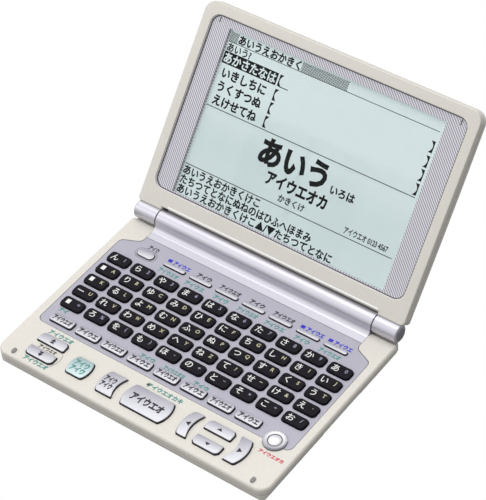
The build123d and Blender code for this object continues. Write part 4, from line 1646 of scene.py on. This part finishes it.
# ------------------------------------------------------------------ keyboard panel
@dataclass
class KeyboardPanel:
    """Panel with rounded key holes, the groove round it and a dark sheet of painted shade under the keys."""

    low: float = 9.6
    high: float = 10.6
    gap: float = 0.3
    edge: float = 0.12
    hole_edge: float = 0.08
    groove: float = 0.16
    groove_z: Point = (0.4, 0.07)
    # heights of the dark sheet of painted shade under the keys
    shade_well: Point = (9.0, 9.6)
    slit: float = 0.06

    def key_holes(self) -> list[Shape]:
        """Find the keys that run in the panel.

        Returns:
            Outline of each key.
        """
        holes = []
        for row in range(5):
            places, v = row_places(f"kana_keys_row_{row + 1}")
            holes += [rounded(u, v, *KanaKeys.size, KanaKeys.corner) for u in places]
        for row in (TOP_ROW, LOWER_ROW):
            holes += [rounded(*key_form(node)[:4], row.corner) for node in row.nodes()]
        power = key_form("power_key")
        return [*holes, rounded(*power[:4], power.height / 2 - OVAL_FLAT)]

    def shade_well_shape(self, _: float) -> list[Point]:
        """Dark sheet of painted shade under the keys, which stays clear of the round key and the panel's
        S-curves.

        Args:
            _: how far an outline is grown, which this one never is.

        Returns:
            Outline points, counter-clockwise.
        """
        side, front, back, turn_v, turn_u = 66.6, -28.0, 30.0, 22.0, 59.0
        end = node_span("lower_key_8")[1]
        return [
            (-side, front), (end.x, front), (end.x, end.y), (side, end.y),
            (side, turn_v), (turn_u, back), (-turn_u, back), (-side, turn_v),
        ]

    def build(self) -> None:
        """Make the panel, its groove and the dark sheet of painted shade that shows in its gaps."""
        keys = self.key_holes()
        panel, groove, shade_well = (Mould(base_axes()) for _ in range(3))
        holes = [grown(key, self.gap) for key in keys]
        panel.plate(grown(panel_shape, -self.groove), holes, self.low, self.high, self.edge, self.hole_edge)
        panel.finish("panel_plate", Finish.PANEL, "base", "panel_plastic", ["keyboard_panel"])
        outer, inner = grown(panel_shape, 0.03), grown(panel_shape, 0.02 - self.groove)
        lift, drop = self.groove_z
        groove.plate(outer, [inner], self.low + lift, self.high - drop)
        groove.finish("panel_groove", Finish.SEAM, "base", "dark_plastic")
        # painted shade: a dark sheet under the keys darkens the gaps round them
        shade_well.plate(self.shade_well_shape, [grown(key, self.slit) for key in keys], *self.shade_well)
        shade_well.finish("key_wells_painted_shade", Finish.WELL, "base", "dark_plastic")


# ------------------------------------------------------------------ hinge
@dataclass
class HingeBarrel:
    """The painted skins of the hinge, the lid's lip and shadow line behind it and the cable's block."""

    radius: float = 4.35
    half: float = 58.85
    knuckle: Point = (59.3, 71.62)
    groove: Point = (3.82, 0.15)
    bore: float = 2.6
    end_radius: float = 0.9
    front: float = 36.45
    fairing: float = 40.0
    rear: float = 51.1
    deck: float = 10.6
    foot: float = 7.2
    lip_u: Point = (-56.1, 58.6)
    lip: tuple[Point, ...] = ((4.6, -2.6), (5.7, -2.6), (5.7, 1.8), (5.35, 1.8), (4.6, 0.5))
    line_v: Point = (4.42, 4.6)
    line_n: Point = (-2.4, 0.3)
    line_inset: float = 0.4
    block: tuple[float, float, float, float] = (-57.55, 6.2, 2.7, 2.8)
    block_n: Point = (-2.5, 0.5)
    block_edges: Point = (0.4, 0.3)

    def build(self) -> None:
        """Make the cover, the sleeves, the lid's lip with its line, and the block."""
        cover = Mould(side_axes(base_axes().origin))
        cover.prism(self.cover_outline(), -self.half, self.half)
        cover.finish("hinge_barrel", Finish.BARREL, "base", "hinge_paint", ["hinge_cover"])
        sleeves = Mould(side_axes(hinge_at()))
        for side in (-1, 1):
            sleeves.lathe(0.0, 0.0, [(r, side * h) for r, h in self.sleeve_profile()], 96)
        sleeves.finish("knuckle_sleeves", Finish.BARREL, "lid", "hinge_paint")
        lid = lid_axes()
        lip, line, guide = Mould(Axes(lid.origin, lid.v, lid.n, lid.u)), Mould(lid), Mould(lid)
        lip.prism(self.lip, *self.lip_u)
        lip.finish("barrel_lip", Finish.SHELL, "lid", "shell")
        low, high = self.line_v
        width = 2 * (self.half - self.line_inset)
        line.prism(rectangle(0.0, (low + high) / 2, width, high - low), *self.line_n)
        line.finish("barrel_line", Finish.DEEP_SEAM, "lid", "dark_plastic")
        corner, edge = self.block_edges
        guide.prism(rectangle(*self.block), *self.block_n, lambda _: corner, edge)
        guide.finish("cable_block", Finish.DARK, "lid", "dark_plastic", ["cable_guide"])

    def sleeve_profile(self) -> list[Point]:
        """Sleeve over a knuckle, with a groove at its inner end and a round at its outer end.

        Returns:
            Closed profile of radius and height.
        """
        start, end = self.knuckle
        floor, step = self.groove
        edge = start + step
        mouth = [(self.bore, start), (floor, start), (floor, edge), (self.radius, edge)]
        curve = [
            (self.radius - self.end_radius * (1 - math.cos(t)), end - self.end_radius * (1 - math.sin(t)))
            for t in quarter(6)
        ]
        return [*mouth, *curve, (self.bore, end)]

    def cover_outline(self) -> list[Point]:
        """Cover from the side: flat front, hollow fairing, barrel and rear wall.

        Returns:
            Outline points, counter-clockwise.
        """
        axis_y, axis_z = HINGE_IN_BASE.y, HINGE_IN_BASE.z
        reach, rise = axis_y - self.fairing, axis_z - self.deck
        hollow = (reach**2 + rise**2 - self.radius**2) / (2 * (self.radius + rise))
        rear_turn = -math.degrees(math.acos((self.rear - axis_y) / self.radius))
        meet = math.degrees(math.atan2(rise - hollow, reach))
        barrel = arc(axis_y, axis_z, self.radius, rear_turn, 180 + meet, 56)
        fairing = arc(self.fairing, self.deck + hollow, hollow, meet, -90, 20)
        bottom = [(self.front, self.foot), (self.rear, self.foot)]
        return [*bottom, *barrel, *fairing[1:], (self.front, self.deck)]


@dataclass
class CaseSeams:
    """Dark lines in the base's joints, and the ledges under the knuckles."""

    split: float = 7.2
    seam: tuple[float, float, float, float] = (-0.03, -0.6, 0.01, 0.17)
    washers: tuple[tuple[float, float, float, float], ...] = (
        (1.7, 3.78, 59.01, 0.28),
        (3.84, 4.34, 58.87, 0.56),
    )
    ledge_u: Point = (59.3, 71.4)
    ledge_v: Point = (43.3, 46.2)
    ledge_z: Point = (5.0, 9.1)
    ledge_edges: Point = (0.8, 0.4)

    def build(self) -> None:
        """Make the parting line, the washers beside the barrel and the ledges."""
        line, ledges = Mould(base_axes()), Mould(base_axes())
        outer, inner, low, high = self.seam
        line.plate(grown(case_shape, outer), [grown(case_shape, inner)], self.split + low, self.split + high)
        line.finish("case_parting_line", Finish.SEAM, "base", "dark_plastic")
        washers = Mould(side_axes(hinge_at()))
        for inner, outer, start, width in self.washers:
            profile = [(inner, start), (outer, start), (outer, start + width), (inner, start + width)]
            for side in (-1, 1):
                washers.lathe(0.0, 0.0, [(radius, side * height) for radius, height in profile])
        washers.finish("hinge_washers", Finish.DEEP_SEAM, "base", "dark_plastic")
        width, depth = self.ledge_u[1] - self.ledge_u[0], self.ledge_v[1] - self.ledge_v[0]
        corner, edge = self.ledge_edges
        for side in (-1, 1):
            centre = (side * sum(self.ledge_u) / 2, sum(self.ledge_v) / 2)
            ledges.prism(rectangle(*centre, width, depth), *self.ledge_z, lambda _: corner, edge)
        ledges.finish("knuckle_ledges", Finish.SHELL, "base", "shell")


# ------------------------------------------------------------------ studio
@dataclass
class Studio:
    """Floor, lamps, world and camera."""

    camera_at: tuple[float, float, float] = (434.41, -477.63, 715.52)
    right: tuple[float, float, float] = (0.80121, 0.59482, -0.06518)
    up: tuple[float, float, float] = (-0.38796, 0.59931, 0.70022)
    lens: float = 159.3
    even: float = 0.54
    slope: tuple[float, float, float] = (-0.52, -0.06, 0.52)
    least: float = 0.03
    floor_grey: Colour = (156, 156, 156)
    aim: tuple[float, float, float] = (0.0, 0.0, 0.03)
    lamps: tuple[tuple[str, tuple[float, float, float], float, float], ...] = (
        ("top_lamp", (-0.2, 0.25, 1.1), 0.8, 2.8),
        ("side_lamp", (-0.9, -0.6, 0.7), 0.4, 1.2),
        ("back_lamp", (0.1, 1.1, 0.35), 0.8, 2.2),
    )

    def build(self) -> None:
        """Make the studio."""
        bpy.context.scene.view_settings.view_transform = "Standard"
        self.floor()
        self.world()
        self.hang_lamps()
        self.camera()

    def floor(self) -> None:
        """Lay a pale floor that lights the object softly and is pure white to the camera."""
        bm = bmesh.new()
        bmesh.ops.create_grid(bm, x_segments=1, y_segments=1, size=3.0)
        mesh = bpy.data.meshes.new("floor")
        bm.to_mesh(mesh)
        bm.free()
        floor = bpy.data.objects.new("floor", mesh)
        bpy.context.scene.collection.objects.link(floor)
        s = Shader("floor_paper")
        s.mottle(s.noise(3.0), self.floor_grey, (0.3, 0.98), (0.7, 1.02))
        s.set(Roughness=0.9, Specular_IOR_Level=0.1)
        white = s.add("ShaderNodeEmission", Color=(1.0, 1.0, 1.0, 1.0), Strength=1.0)
        mix = s.add("ShaderNodeMixShader")
        s.join(s.add("ShaderNodeLightPath").outputs["Is Camera Ray"], mix.inputs["Fac"])
        s.join(s.body.outputs["BSDF"], mix.inputs[1])
        s.join(white.outputs["Emission"], mix.inputs[2])
        s.join(mix.outputs["Shader"], s.tree.nodes["Material Output"].inputs["Surface"])
        mesh.materials.append(s.material)

    def world(self) -> None:
        """Light softly from all round, more from above and the left, with a white background."""
        world = bpy.data.worlds.new("studio")
        bpy.context.scene.world = world
        world.use_nodes = True
        tree = world.node_tree
        tree.nodes.clear()
        make, join = tree.nodes.new, tree.links.new
        out, mix = make("ShaderNodeOutputWorld"), make("ShaderNodeMixShader")
        soft, white = make("ShaderNodeBackground"), make("ShaderNodeBackground")
        lean, level, least = make("ShaderNodeVectorMath"), make("ShaderNodeMath"), make("ShaderNodeMath")
        lean.operation, level.operation, least.operation = "DOT_PRODUCT", "ADD", "MAXIMUM"
        join(make("ShaderNodeTexCoord").outputs["Generated"], lean.inputs[0])
        lean.inputs[1].default_value = self.slope
        join(lean.outputs["Value"], level.inputs[0])
        level.inputs[1].default_value = self.even
        join(level.outputs[0], least.inputs[0])
        least.inputs[1].default_value = self.least
        join(least.outputs[0], soft.inputs["Strength"])
        for light in (soft, white):
            light.inputs["Color"].default_value = (1.0, 1.0, 1.0, 1.0)
        white.inputs["Strength"].default_value = 1.0
        join(make("ShaderNodeLightPath").outputs["Is Camera Ray"], mix.inputs["Fac"])
        join(soft.outputs["Background"], mix.inputs[1])
        join(white.outputs["Background"], mix.inputs[2])
        join(mix.outputs["Shader"], out.inputs["Surface"])

    def hang_lamps(self) -> None:
        """Hang a soft lamp over the object, a small one to its left and one low behind it."""
        for name, place, size, power in self.lamps:
            lamp = bpy.data.lights.new(name, "AREA")
            lamp.size = size
            lamp.energy = power
            holder = bpy.data.objects.new(name, lamp)
            holder.location = place
            holder.rotation_euler = (Vector(self.aim) - Vector(place)).to_track_quat("-Z", "Y").to_euler()
            bpy.context.scene.collection.objects.link(holder)

    def camera(self) -> None:
        """Set the camera, whose place is given in the axes of the base."""
        data = bpy.data.cameras.new("camera")
        data.sensor_width = 36.0
        data.lens = self.lens
        data.clip_start = 0.05
        data.clip_end = 20.0
        camera = bpy.data.objects.new("camera", data)
        x, y = Vector(self.right), Vector(self.up)
        turn = Matrix((x, y, x.cross(y))).transposed().to_4x4()
        place = Vector(self.camera_at) + base_axes().origin
        camera.matrix_world = Matrix.Translation(place * MM) @ turn
        bpy.context.scene.collection.objects.link(camera)
        bpy.context.scene.camera = camera


def main() -> None:
    """Build the studio and every sub-assembly in order."""
    logging.basicConfig(level=logging.INFO, format="%(name)s: %(message)s")
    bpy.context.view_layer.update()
    for group in (
        Studio(),
        Housings(),
        KeyboardPanel(),
        HingeBarrel(),
        CaseSeams(),
        KanaKeys(),
        SilverKeys(),
        BasePrint(),
        LidFront(),
        ScreenImage(),
    ):
        group.build()
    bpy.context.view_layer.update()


if __name__ == "__main__":
    main()
